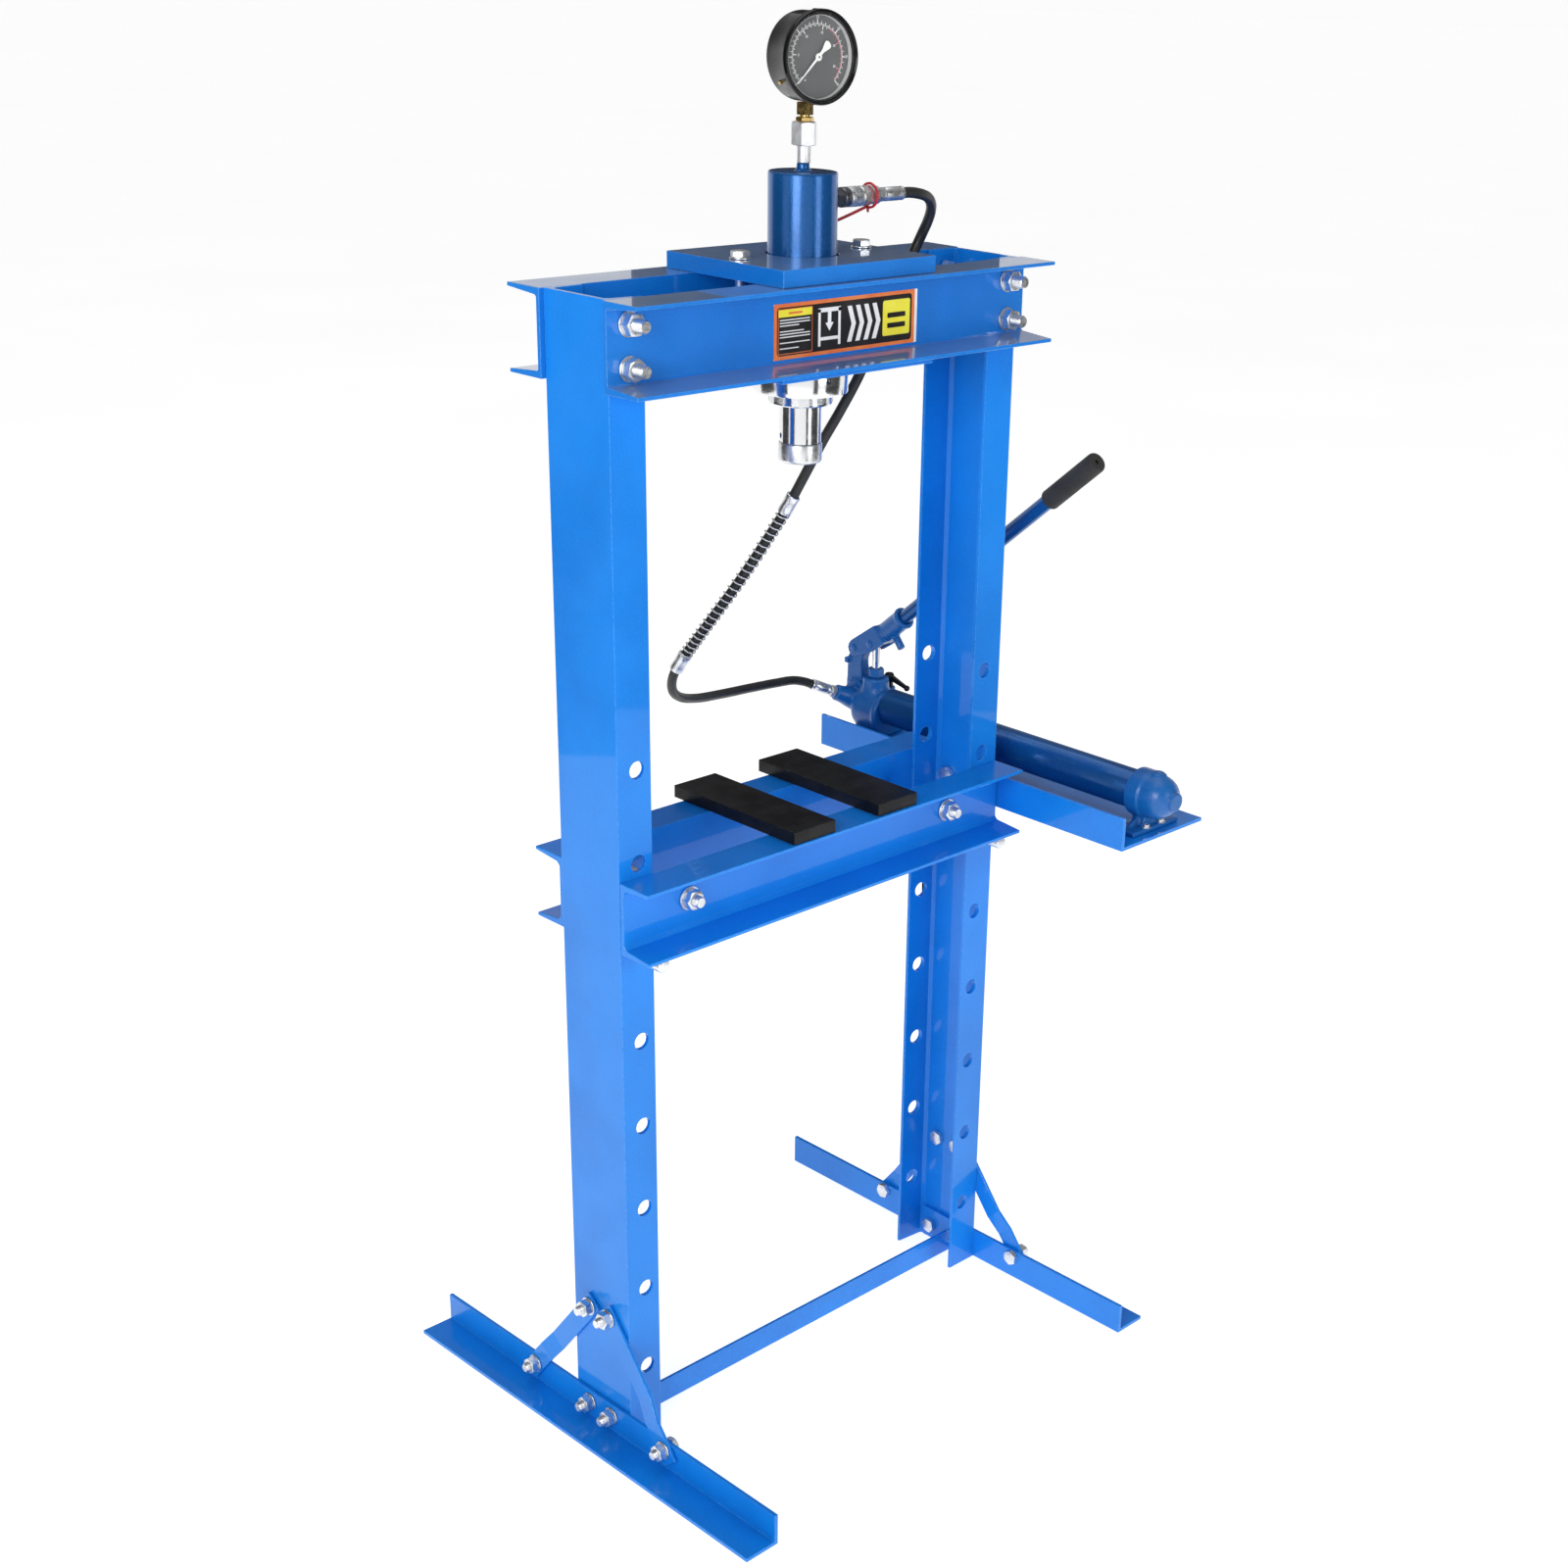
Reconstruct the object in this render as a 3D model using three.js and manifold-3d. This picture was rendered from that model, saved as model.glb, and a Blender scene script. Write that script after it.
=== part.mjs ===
// A floor-standing hydraulic shop press: two channel uprights on angle feet, a head of two channel
// beams that carries the cylinder, a height-adjustable bed on two pins, and a hand pump on a side
// bracket that feeds the cylinder through a hose.
//
// Millimetres, +Z up, the front faces -Y, and the pump is on the +X side. Everything is laid out
// about the middle of the press; the group is then moved so that its origin is the middle of the
// footprint, on the floor.
import * as THREE from 'three';
import { mergeVertices } from 'three/addons/utils/BufferGeometryUtils.js';
import Module from 'manifold-3d';

const wasm = await Module();
wasm.setup();

// ---------------------------------------------------------------- driving dimensions
const GAP = 0.3; // between touching pieces

const HALF_WIDTH = 300; // middle of the press to the outer face of an upright
const HALF_DEPTH = 50; // half the depth of an upright
const FRAME_HEIGHT = 1337;
const WEB = 5; // web thickness of every channel
const FLANGE_TIP = 4;
const FLANGE_ROOT = 7.5;
const UPRIGHT_FLANGE = 46;

const HOLE_COLUMN = 273; // middle of the press to the row of height holes
const HOLE_TOP = 845;
const HOLE_PITCH = 107;
const HOLE_COUNT = 8;
const HOLE_RADIUS = 10;
const PIN_RADIUS = 8;
const PIN_DROP = 1.5; // a pin lies this far below the middle of its hole
const PIN_HALF_LENGTH = 92;
const PIN_HOLE = 2; // the bed stands on pins in the third hole from the top

const HEAD_BEAM = { height: 90.7, reach: 52, fillet: 2, halfLength: 306 };
const BED_BEAM = { height: 84.2, reach: 47, fillet: 4, halfLength: 299.6 };
const HEAD_BOLT = { column: 278, heights: [1269, 1313], radius: 7, tail: 83 };
const BED_BOLT = { column: 207, height: 681, radius: 7, halfLength: 76 };

const FOOT = { length: 616, leg: 47, height: 40, thick: 5 };
const STRUT = { side: 31, thick: 4, front: -17, bottom: 1 };
const STRUT_PLATE = { width: 70, height: 44, thick: 6, bottom: 3 };
const BRACE = { width: 25, thick: 4, over: [12.5, 18], top: [18, 160], bottom: [121, 31] };

const HEAD_X = 7; // the cylinder stands this far right of the middle
const HEAD_PLATE = { length: 224, width: 184, upper: 18, lower: 6 };
const PLATE_BOLT = { offset: 89, radius: 6 };
const PLATE_CLEARANCE = 2.5; // between the cylinder and the holes in the plates

const CYLINDER = { radius: 37.5, top: 1440, bottom: 1195, bore: 30.5, collar: 35.7 };
const CYLINDER_FLOOR = 1225; // top of the gland that the ram runs through
const CYLINDER_CEILING = 1420;
const LOCK_RING = { radius: 52, bottom: 1208 };
const RAM = { radius: 23, bottom: 1152, piston: 30, pistonHeight: 20 };
const RAM_TIP = { radius: 24.3, bottom: 1130 };

const GAUGE = { x: HEAD_X + 3, z: 1555, turn: -6, radius: 45, bezel: 47.4, front: -28.5, back: 12.5 };
const NEEDLE_ANGLE = -135; // from twelve o'clock, at zero pressure

const COUPLER_Z = 1410;
const HOSE_RADIUS = 6;
const HOSE_STEPS = 44;

const PLATE = { width: 64, length: 208, thick: 15 };
const PLATE_CENTRES = { left: [-53, 9], right: [82, 10] };

const BRACKET = { from: -260, to: 264, bottom: 661, height: 42, reach: 157, thick: 4.5 };
const BRACKET_BOLT = { y: 24, z: 685, radius: 6 };
const PUMP_X = 380;
const TANK = { z: 709, radius: 24.3, from: -217, to: 212.5 };
const PUMP_HEAD = { z: 699, radius: 30, from: 213, to: 264 };
const PISTON = { y: 242, radius: 5.5, top: 787, bottom: 706 };
const HANDLE_TILT = 40; // degrees above level at rest
const HANDLE_ORIGIN = [PUMP_X, 270, 772.5]; // on the handle's axis, under the fulcrum
const FULCRUM = [6.1, 7.3]; // along and above the handle's axis
const WRIST = [36.8, -2.8]; // the pin that drives the piston
const SOCKET = { from: 56, to: 103, radius: 13.7, bore: 9.9 };
const HANDLE = { from: 60, to: 511, radius: 9.5, bore: 7.5, grip: 417, gripRadius: 13 };

const [valveX, valveY, valveZ] = [402, 238, 719]; // seat of the release valve's stem
const VALVE_LEVER = { z: 742, reach: 35, drop: 11 };

const COLOURS = {
  enamel: [0x2f7fe6, 0.35, 0.1],
  pump_enamel: [0x2359a8, 0.4, 0.15],
  zinc: [0xc9ccd0, 0.35, 0.9],
  chrome: [0xe4e6ea, 0.12, 1],
  brass: [0xc9a24c, 0.3, 0.9],
  rubber: [0x161616, 0.6, 0],
  black_paint: [0x201f1f, 0.6, 0.2],
  black_case: [0x0d0d0d, 0.4, 0],
  dial: [0x77797c, 0.7, 0],
  white: [0xf4f4f4, 0.5, 0],
  glass: [0xdfe8ee, 0.05, 0],
  red: [0xb01722, 0.5, 0],
};

// ---------------------------------------------------------------- solids
// A closed geometry as a solid that can be joined and cut.
function solid(geometry) {
  const bare = geometry.index ? geometry.toNonIndexed() : geometry.clone();
  for (const name of Object.keys(bare.attributes)) {
    if (name !== 'position') bare.deleteAttribute(name);
  }
  const merged = mergeVertices(bare, 1e-3);
  const corners = merged.index.array;
  const kept = [];
  for (let i = 0; i < corners.length; i += 3) {
    const [a, b, c] = [corners[i], corners[i + 1], corners[i + 2]];
    if (a !== b && b !== c && c !== a) kept.push(a, b, c);
  }
  const build = (triangles) =>
    new wasm.Manifold(
      new wasm.Mesh({
        numProp: 3,
        vertProperties: merged.attributes.position.array,
        triVerts: new Uint32Array(triangles),
      }),
    );
  const made = build(kept);
  return made.volume() > 0 ? made : build(kept.reverse());
}

function geometryOf(made) {
  const mesh = made.getMesh();
  return new THREE.BufferGeometry()
    .setAttribute('position', new THREE.BufferAttribute(mesh.vertProperties, 3))
    .setIndex(new THREE.BufferAttribute(mesh.triVerts, 1));
}

const join = (first, ...others) => others.reduce((whole, piece) => whole.add(piece), first);
const cut = (first, ...others) => others.reduce((whole, piece) => whole.subtract(piece), first);

// A box between two opposite corners.
function box([x0, y0, z0], [x1, y1, z1]) {
  const geometry = new THREE.BoxGeometry(x1 - x0, y1 - y0, z1 - z0);
  return solid(geometry.translate((x0 + x1) / 2, (y0 + y1) / 2, (z0 + z1) / 2));
}

// Turns a geometry made along +Z onto a direction and moves it to a point.
function aim(geometry, from, direction) {
  const turn = new THREE.Quaternion().setFromUnitVectors(new THREE.Vector3(0, 0, 1), direction);
  return solid(geometry.applyQuaternion(turn).translate(...from));
}

// A round or, with six sides, a hexagonal rod between two points.
function rod(radius, from, to, sides = 16) {
  const span = new THREE.Vector3(...to).sub(new THREE.Vector3(...from));
  const geometry = new THREE.CylinderGeometry(radius, radius, span.length(), sides);
  geometry.rotateX(Math.PI / 2).translate(0, 0, span.length() / 2);
  return aim(geometry, from, span.normalize());
}

// A turned piece: outline points are [radius, distance along the axis].
function turned(outline, from, direction, sides = 24) {
  const points = outline.map(([radius, along]) => new THREE.Vector2(radius, along));
  const geometry = new THREE.LatheGeometry(points, sides).rotateX(Math.PI / 2);
  return aim(geometry, from, new THREE.Vector3(...direction));
}

// An outline in a plane, made thick. axes are the outline's x, its y, and the way it is made thick.
function slab(outline, thick, origin, axes) {
  const shape = new THREE.Shape(outline.map(([x, y]) => new THREE.Vector2(x, y)));
  const geometry = new THREE.ExtrudeGeometry(shape, { depth: thick, bevelEnabled: false });
  const frame = new THREE.Matrix4().makeBasis(...axes.map((axis) => new THREE.Vector3(...axis)));
  return solid(geometry.applyMatrix4(frame.setPosition(...origin)));
}

// A bolt with its nut and washer, as one piece. It starts at the face that its head presses on and
// runs along a direction; grip is the thickness that it clamps, and tail is how far it sticks out
// past that.
function bolt({ radius, grip, tail, from, direction, headWasher = false }) {
  const way = new THREE.Vector3(...direction);
  const at = (along) => new THREE.Vector3(...from).addScaledVector(way, along).toArray();
  const hexRadius = radius * 1.75;
  const washer = radius * 1.9;
  const washerThick = radius * 0.28;
  const head = headWasher ? -washerThick : 0;
  const pieces = [
    rod(hexRadius, at(head - GAP - radius * 1.1), at(head - GAP), 6),
    rod(radius, at(head - GAP - 1), at(grip + tail), 10),
    rod(washer, at(grip + GAP), at(grip + GAP + washerThick), 16),
    rod(hexRadius, at(grip + washerThick), at(grip + GAP + washerThick + radius * 1.6), 6),
  ];
  if (headWasher) pieces.push(rod(washer, at(-GAP - washerThick - 0.1), at(-GAP), 16));
  return join(...pieces);
}

// ---------------------------------------------------------------- the group
const press = new THREE.Group();

function add(name, made, colour, parent = press) {
  const [color, roughness, metalness] = COLOURS[colour];
  const material = new THREE.MeshStandardMaterial({ color, roughness, metalness });
  const mesh = new THREE.Mesh(geometryOf(made), material);
  mesh.name = name;
  parent.add(mesh);
  return mesh;
}

// ---------------------------------------------------------------- frame
// A rolled channel's section: the web's back is on x = 0 and the flanges point to +x.
function channelSection(depth, reach, fillet) {
  const half = depth / 2;
  const lower = [
    [0, -half],
    [reach, -half],
    [reach, -half + FLANGE_TIP],
    [WEB + fillet, -half + FLANGE_ROOT],
    [WEB, -half + FLANGE_ROOT + fillet],
  ];
  const upper = lower.slice().reverse().map(([x, y]) => [x, -y]);
  return [...lower, ...upper];
}

const holeHeights = Array.from({ length: HOLE_COUNT }, (_, i) => HOLE_TOP - i * HOLE_PITCH);

// side is -1 for the left upright and +1 for the right.
function upright(side) {
  const inward = [-side, 0, 0];
  const channel = slab(channelSection(2 * HALF_DEPTH, UPRIGHT_FLANGE, 4), FRAME_HEIGHT,
    [side * HALF_WIDTH, 0, 0], [inward, [0, -side, 0], [0, 0, 1]]);
  const through = (radius, column, height, sides) =>
    rod(radius, [side * column, -HALF_DEPTH - WEB, height], [side * column, HALF_DEPTH + WEB, height], sides);
  return cut(
    channel,
    ...holeHeights.map((height) => through(HOLE_RADIUS, HOLE_COLUMN, height, 16)),
    ...HEAD_BOLT.heights.map((height) => through(HEAD_BOLT.radius + 0.6, HEAD_BOLT.column, height, 10)),
  );
}

const bracketBoltYs = [-BRACKET_BOLT.y, BRACKET_BOLT.y];
const bracketBoltHoles = bracketBoltYs.map((y) =>
  rod(BRACKET_BOLT.radius + 0.6, [HALF_WIDTH - 2 * WEB, y, BRACKET_BOLT.z], [HALF_WIDTH + 2 * WEB, y, BRACKET_BOLT.z], 10));
add('left_upright', upright(-1), 'enamel');
add('right_upright', cut(upright(1), ...bracketBoltHoles), 'enamel');

// A horizontal channel along X, its web against the uprights and its flanges pointing away.
// side is -1 at the front and +1 at the rear.
function beam(side, { height, reach, fillet, halfLength }, top) {
  return slab(channelSection(height, reach, fillet), 2 * halfLength,
    [side * -halfLength, side * (HALF_DEPTH + GAP), top - height / 2],
    [[0, side, 0], [0, 0, 1], [side, 0, 0]]);
}

const PIN_Z = HOLE_TOP - PIN_HOLE * HOLE_PITCH - PIN_DROP;
const BED_BOTTOM = PIN_Z + PIN_RADIUS + GAP;
const BED_TOP = BED_BOTTOM + BED_BEAM.height;

for (const [end, side] of [['front', -1], ['rear', 1]]) {
  const across = (radius, x, z) =>
    rod(radius, [x, side * HALF_DEPTH, z], [x, side * (HALF_DEPTH + 2 * WEB), z], 10);
  const headHoles = [-1, 1].flatMap((hand) =>
    HEAD_BOLT.heights.map((z) => across(HEAD_BOLT.radius + 0.6, hand * HEAD_BOLT.column, z)));
  const bedHoles = [-1, 1].map((hand) =>
    across(BED_BOLT.radius + 0.6, hand * BED_BOLT.column, BED_BOLT.height));
  add(`head_beam_${end}`, cut(beam(side, HEAD_BEAM, FRAME_HEIGHT), ...headHoles), 'enamel');
  add(`bed_channel_${end}`, cut(beam(side, BED_BEAM, BED_TOP), ...bedHoles), 'enamel');
}

for (const [hand, sign] of [['left', -1], ['right', 1]]) {
  // The head bolts: heads inside the upright, nuts outside the beams.
  for (const [end, side] of [['front', -1], ['rear', 1]]) {
    HEAD_BOLT.heights.forEach((height, i) => {
      const made = bolt({
        radius: HEAD_BOLT.radius,
        grip: FLANGE_ROOT + GAP + WEB,
        tail: HEAD_BOLT.tail - HALF_DEPTH - GAP - WEB,
        from: [sign * HEAD_BOLT.column, side * (HALF_DEPTH - FLANGE_ROOT), height],
        direction: [0, side, 0],
      });
      add(`head_bolt_${hand}_${end}_${['lower', 'upper'][i]}`, made, 'zinc');
    });
  }

  // The bed's cross bolts: a threaded rod through both channels, with a nut and washer at each end.
  const x = sign * BED_BOLT.column;
  const nuts = [-1, 1].flatMap((side) => {
    const at = (y) => [x, side * y, BED_BOLT.height];
    const face = HALF_DEPTH + GAP + WEB;
    return [rod(14, at(face + GAP), at(face + 2.5), 16), rod(12.2, at(face + 2.4), at(face + 13), 6)];
  });
  const stud = rod(BED_BOLT.radius, [x, -BED_BOLT.halfLength, BED_BOLT.height], [x, BED_BOLT.halfLength, BED_BOLT.height], 10);
  add(`bed_bolt_${hand}`, join(stud, ...nuts), 'zinc');

  // The pins lie in the bottom of their holes, and the bed stands on them.
  const pinX = sign * HOLE_COLUMN;
  const pin = turned(
    [[0, 0], [PIN_RADIUS - 1.5, 0], [PIN_RADIUS, 1.5], [PIN_RADIUS, 2 * PIN_HALF_LENGTH - 1.5],
      [PIN_RADIUS - 1.5, 2 * PIN_HALF_LENGTH], [0, 2 * PIN_HALF_LENGTH]],
    [pinX, PIN_HALF_LENGTH, PIN_Z], [0, -1, 0], 16);
  add(`bed_pin_${hand}`, pin, 'zinc');

  // The loose press plates lie across the bed.
  const [plateX, plateY] = PLATE_CENTRES[hand];
  const plate = box(
    [plateX - PLATE.width / 2, plateY - PLATE.length / 2, BED_TOP + GAP],
    [plateX + PLATE.width / 2, plateY + PLATE.length / 2, BED_TOP + GAP + PLATE.thick]);
  add(`press_plate_${hand}`, plate, 'black_paint');

  // An angle foot against the upright's outer face, its flat leg pointing out.
  const inner = HALF_WIDTH + GAP;
  const footSection = [[0, 0], [FOOT.leg, 0], [FOOT.leg, FOOT.thick], [FOOT.thick, FOOT.thick],
    [FOOT.thick, FOOT.height], [0, FOOT.height]];
  add(`${hand}_foot`, slab(footSection, FOOT.length,
    [sign * inner, sign * FOOT.length / 2, 0], [[sign, 0, 0], [0, 0, 1], [0, -sign, 0]]), 'enamel');

  // Two flat braces from the upright down to the foot, each with a joggle over the foot's leg.
  for (const [end, side] of [['front', -1], ['rear', 1]]) {
    const upper = new THREE.Vector3(sign * (inner + GAP), side * BRACE.top[0], BRACE.top[1]);
    const lower = new THREE.Vector3(sign * (inner + GAP), side * BRACE.bottom[0], BRACE.bottom[1]);
    const along = lower.clone().sub(upper);
    const length = along.length();
    along.normalize();
    const step = FOOT.thick + GAP;
    const [bendStart, bendEnd] = [length - 62, length - 34];
    const [tip, toe] = [-BRACE.over[0], length + BRACE.over[1]];
    const outline = [[tip, 0], [bendStart, 0], [bendEnd, step], [toe, step],
      [toe, step + BRACE.thick], [bendEnd - 1, step + BRACE.thick],
      [bendStart - 1, BRACE.thick], [tip, BRACE.thick]];
    const outward = new THREE.Vector3(sign, 0, 0);
    const across = along.clone().cross(outward);
    const origin = upper.clone().addScaledVector(across, -BRACE.width / 2);
    add(`${hand}_${end}_brace`, slab(outline, BRACE.width, origin.toArray(),
      [along.toArray(), outward.toArray(), across.toArray()]), 'enamel');
  }
}

// The strut between the feet: an angle with a plate welded on each end.
const strutEnd = HALF_WIDTH - WEB - GAP - STRUT_PLATE.thick;
const { side: strutSide, thick: strutThick, front: strutFront, bottom: strutBottom } = STRUT;
const strutPlates = [-1, 1].map((sign) => box(
  [Math.min(sign * strutEnd, sign * (strutEnd + STRUT_PLATE.thick)), -STRUT_PLATE.width / 2, STRUT_PLATE.bottom],
  [Math.max(sign * strutEnd, sign * (strutEnd + STRUT_PLATE.thick)), STRUT_PLATE.width / 2,
    STRUT_PLATE.bottom + STRUT_PLATE.height]));
add('base_strut', join(
  box([-strutEnd - 1, strutFront, strutBottom], [strutEnd + 1, strutFront + strutThick, strutBottom + strutSide]),
  box([-strutEnd - 1, strutFront, strutBottom], [strutEnd + 1, strutFront + strutSide, strutBottom + strutThick]),
  ...strutPlates), 'enamel');

// ---------------------------------------------------------------- head plates and cylinder
const UPPER_PLATE = FRAME_HEIGHT + GAP;
const LOWER_PLATE = FRAME_HEIGHT - HEAD_BEAM.height - GAP - HEAD_PLATE.lower;
const plateBoltXs = [-1, 1].map((hand) => HEAD_X + hand * PLATE_BOLT.offset);

function headPlate(bottom, thick) {
  const plate = box(
    [HEAD_X - HEAD_PLATE.length / 2, -HEAD_PLATE.width / 2, bottom],
    [HEAD_X + HEAD_PLATE.length / 2, HEAD_PLATE.width / 2, bottom + thick]);
  const hole = (radius, x, sides) => rod(radius, [x, 0, bottom - 1], [x, 0, bottom + thick + 1], sides);
  return cut(plate, hole(CYLINDER.radius + PLATE_CLEARANCE, HEAD_X, 32),
    ...plateBoltXs.map((x) => hole(PLATE_BOLT.radius + 0.6, x, 10)));
}

add('head_plate_upper', headPlate(UPPER_PLATE, HEAD_PLATE.upper), 'enamel');
add('head_plate_lower', headPlate(LOWER_PLATE, HEAD_PLATE.lower), 'enamel');
plateBoltXs.forEach((x, i) => {
  const made = bolt({
    radius: PLATE_BOLT.radius,
    grip: UPPER_PLATE + HEAD_PLATE.upper - LOWER_PLATE,
    tail: 18,
    from: [x, 0, UPPER_PLATE + HEAD_PLATE.upper],
    direction: [0, 0, -1],
    headWasher: true,
  });
  add(`head_plate_bolt_${['left', 'right'][i]}`, made, 'zinc');
});

// The cylinder: closed above, bored for the piston, with a gland at the bottom that the ram runs in.
const ramBore = RAM.radius + 0.4;
const neck = 7;
add('cylinder_body', turned([
  [ramBore, CYLINDER.bottom], [CYLINDER.collar - 1.5, CYLINDER.bottom], [CYLINDER.collar, CYLINDER.bottom + 1.5],
  [CYLINDER.collar, LOCK_RING.bottom], [CYLINDER.radius, LOCK_RING.bottom], [CYLINDER.radius, CYLINDER.top - 2],
  [CYLINDER.radius - 2, CYLINDER.top], [neck, CYLINDER.top], [neck, CYLINDER.top + 8], [0, CYLINDER.top + 8],
  [0, CYLINDER_CEILING], [CYLINDER.bore, CYLINDER_CEILING], [CYLINDER.bore, CYLINDER_FLOOR],
  [ramBore, CYLINDER_FLOOR], [ramBore, CYLINDER.bottom]], [HEAD_X, 0, 0], [0, 0, 1], 32), 'pump_enamel');

const ringTop = LOWER_PLATE - GAP;
add('cylinder_lock_ring', turned([
  [CYLINDER.radius + 0.5, LOCK_RING.bottom], [LOCK_RING.radius - 2, LOCK_RING.bottom],
  [LOCK_RING.radius, LOCK_RING.bottom + 2], [LOCK_RING.radius, ringTop], [CYLINDER.radius + 0.5, ringTop],
  [CYLINDER.radius + 0.5, LOCK_RING.bottom]], [HEAD_X, 0, 0], [0, 0, 1], 32), 'chrome');

const pistonTop = CYLINDER_CEILING - 6;
add('ram', turned([
  [0, RAM.bottom], [RAM.radius, RAM.bottom], [RAM.radius, pistonTop - RAM.pistonHeight],
  [RAM.piston, pistonTop - RAM.pistonHeight], [RAM.piston, pistonTop], [0, pistonTop]],
  [HEAD_X, 0, 0], [0, 0, 1], 24), 'chrome');
add('ram_tip', turned([
  [0, RAM_TIP.bottom], [RAM_TIP.radius - 3, RAM_TIP.bottom], [RAM_TIP.radius, RAM_TIP.bottom + 3],
  [RAM_TIP.radius, RAM.bottom - GAP], [0, RAM.bottom - GAP]], [HEAD_X, 0, 0], [0, 0, 1], 24), 'chrome');

// ---------------------------------------------------------------- gauge
const ADAPTER_FOOT = CYLINDER.top + 8 + GAP;
const [HEX_FOOT, HEX_TOP, STEM_FLANGE] = [1466, 1490, 1496.5];
add('gauge_adapter', join(
  rod(7.3, [HEAD_X + 1, 0, ADAPTER_FOOT], [HEAD_X + 1, 0, HEX_FOOT + 1], 16),
  rod(14, [HEAD_X + 1, 0, HEX_FOOT], [HEAD_X + 1, 0, HEX_TOP], 6)), 'chrome');

const stemTop = GAUGE.z - GAUGE.radius - GAP;
add('gauge_stem', join(
  rod(9.8, [GAUGE.x - 1, 0, HEX_TOP + GAP], [GAUGE.x - 1, 0, STEM_FLANGE], 6),
  box([GAUGE.x - 7.2, -6.2, STEM_FLANGE - 0.1], [GAUGE.x + 5.2, 6.2, stemTop])), 'brass');

// The gauge is made in its own frame, facing -Y, and turned a little towards the left.
const gauge = new THREE.Group();
gauge.position.set(GAUGE.x, 0, GAUGE.z);
gauge.rotation.z = THREE.MathUtils.degToRad(GAUGE.turn);
press.add(gauge);

const [DIAL_SEAT, LENS_SEAT, INNER_RADIUS, LENS_RADIUS] = [-17, -23.9, 41.5, 43.5];
const disc = (radius, near, far, sides) => rod(radius, [0, near, 0], [0, far, 0], sides);
const gaugeBody = join(disc(GAUGE.radius, GAUGE.back, GAUGE.front + 6, 36),
  disc(GAUGE.bezel, GAUGE.front + 8, GAUGE.front, 36),
  rod(3.4, [0, -15, GAUGE.radius - 1], [0, -15, GAUGE.radius + 2.2], 12));
add('gauge_case', cut(gaugeBody, disc(INNER_RADIUS, DIAL_SEAT, GAUGE.front - 1, 36),
  disc(LENS_RADIUS + GAP, LENS_SEAT, GAUGE.front - 1, 36)), 'black_case', gauge);
add('gauge_dial', disc(INNER_RADIUS - 0.4, DIAL_SEAT - GAP, DIAL_SEAT - 1.8, 36), 'dial', gauge);
add('gauge_lens', disc(LENS_RADIUS, LENS_SEAT - GAP, LENS_SEAT - 2.3, 36), 'glass', gauge);

const needle = new THREE.Group();
needle.rotation.y = THREE.MathUtils.degToRad(NEEDLE_ANGLE);
gauge.add(needle);
const needleFace = DIAL_SEAT - 3.5;
const pointer = slab([[-1, 6], [1, 6], [0.5, 36], [-0.5, 36]], 1, [0, needleFace, 0], [[1, 0, 0], [0, 0, 1], [0, -1, 0]]);
const tail = slab([[-1.6, -4], [-4.5, -18], [0, -20.5], [4.5, -18], [1.6, -4]], 1, [0, needleFace, 0],
  [[1, 0, 0], [0, 0, 1], [0, -1, 0]]);
const hub = rod(6.5, [0, needleFace, 0], [0, needleFace - 2, 0], 16);
add('gauge_needle', join(hub, pointer, tail), 'white', needle);

// ---------------------------------------------------------------- hose and its fittings
// Stations along X from the cylinder's side.
const SIDE_PORT = CYLINDER.radius + HEAD_X + GAP;
const [NIPPLE_END, COLLAR_END, HEX_END, FERRULE_END] = [71.7, 93, 119, 157.3];
const alongX = (radius, from, to, sides) => rod(radius, [from, 0, COUPLER_Z], [to, 0, COUPLER_Z], sides);
add('coupler_nipple', join(alongX(11, SIDE_PORT, NIPPLE_END, 6), alongX(7, NIPPLE_END - 1, NIPPLE_END + 3, 12)), 'zinc');
add('coupler_collar', cut(alongX(11, NIPPLE_END + GAP, COLLAR_END, 20), alongX(7.4, NIPPLE_END, COLLAR_END + 1, 20)), 'zinc');
add('hose_fitting_upper', join(
  alongX(6.9, NIPPLE_END + 3.5, COLLAR_END + 1, 12),
  alongX(10.8, COLLAR_END + GAP, HEX_END, 6),
  alongX(7.6, HEX_END - 1, FERRULE_END, 14)), 'zinc');

const PORT_TIP = new THREE.Vector3(340, 280, 722);
const PORT_WAY = new THREE.Vector3(-0.87, 0.29, 0.4).normalize();
const portAt = (along) => PORT_TIP.clone().addScaledVector(PORT_WAY, along).toArray();
const LOWER_FERRULE = 38;
add('hose_fitting_lower', join(
  rod(8.6, portAt(GAP), portAt(7), 6),
  rod(7.6, portAt(6), portAt(LOWER_FERRULE), 14)), 'zinc');

const hosePoints = [
  [FERRULE_END + GAP, 0, COUPLER_Z], [170, 0, COUPLER_Z], [187.2, 1, 1407.6], [204.1, 5.3, 1403.1],
  [216, 10.8, 1396.1], [224.7, 18.1, 1387.1], [230.2, 27.2, 1374.4], [230.3, 36.6, 1357.7], [221.6, 42.5, 1334.2],
  [194, 41, 1294], [168, 43, 1250], [141, 46, 1202],
  [123, 56, 1164], [112, 74, 1126], [105, 95, 1085], [96, 115, 1044], [86, 133, 1010], [73, 150, 975],
  [58, 169, 938], [42, 189, 901], [28, 208, 867], [19, 225, 839], [19, 238, 816], [29, 249, 796],
  [50, 259, 781], [84, 269, 770], [137, 281, 761.5], [194, 289.5, 755.5], [244, 294, 751], [280, 297, 746.5],
  portAt(LOWER_FERRULE + 10), portAt(LOWER_FERRULE + GAP),
].map((point) => new THREE.Vector3(...point));
const hoseLine = new THREE.CatmullRomCurve3(hosePoints);

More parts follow.
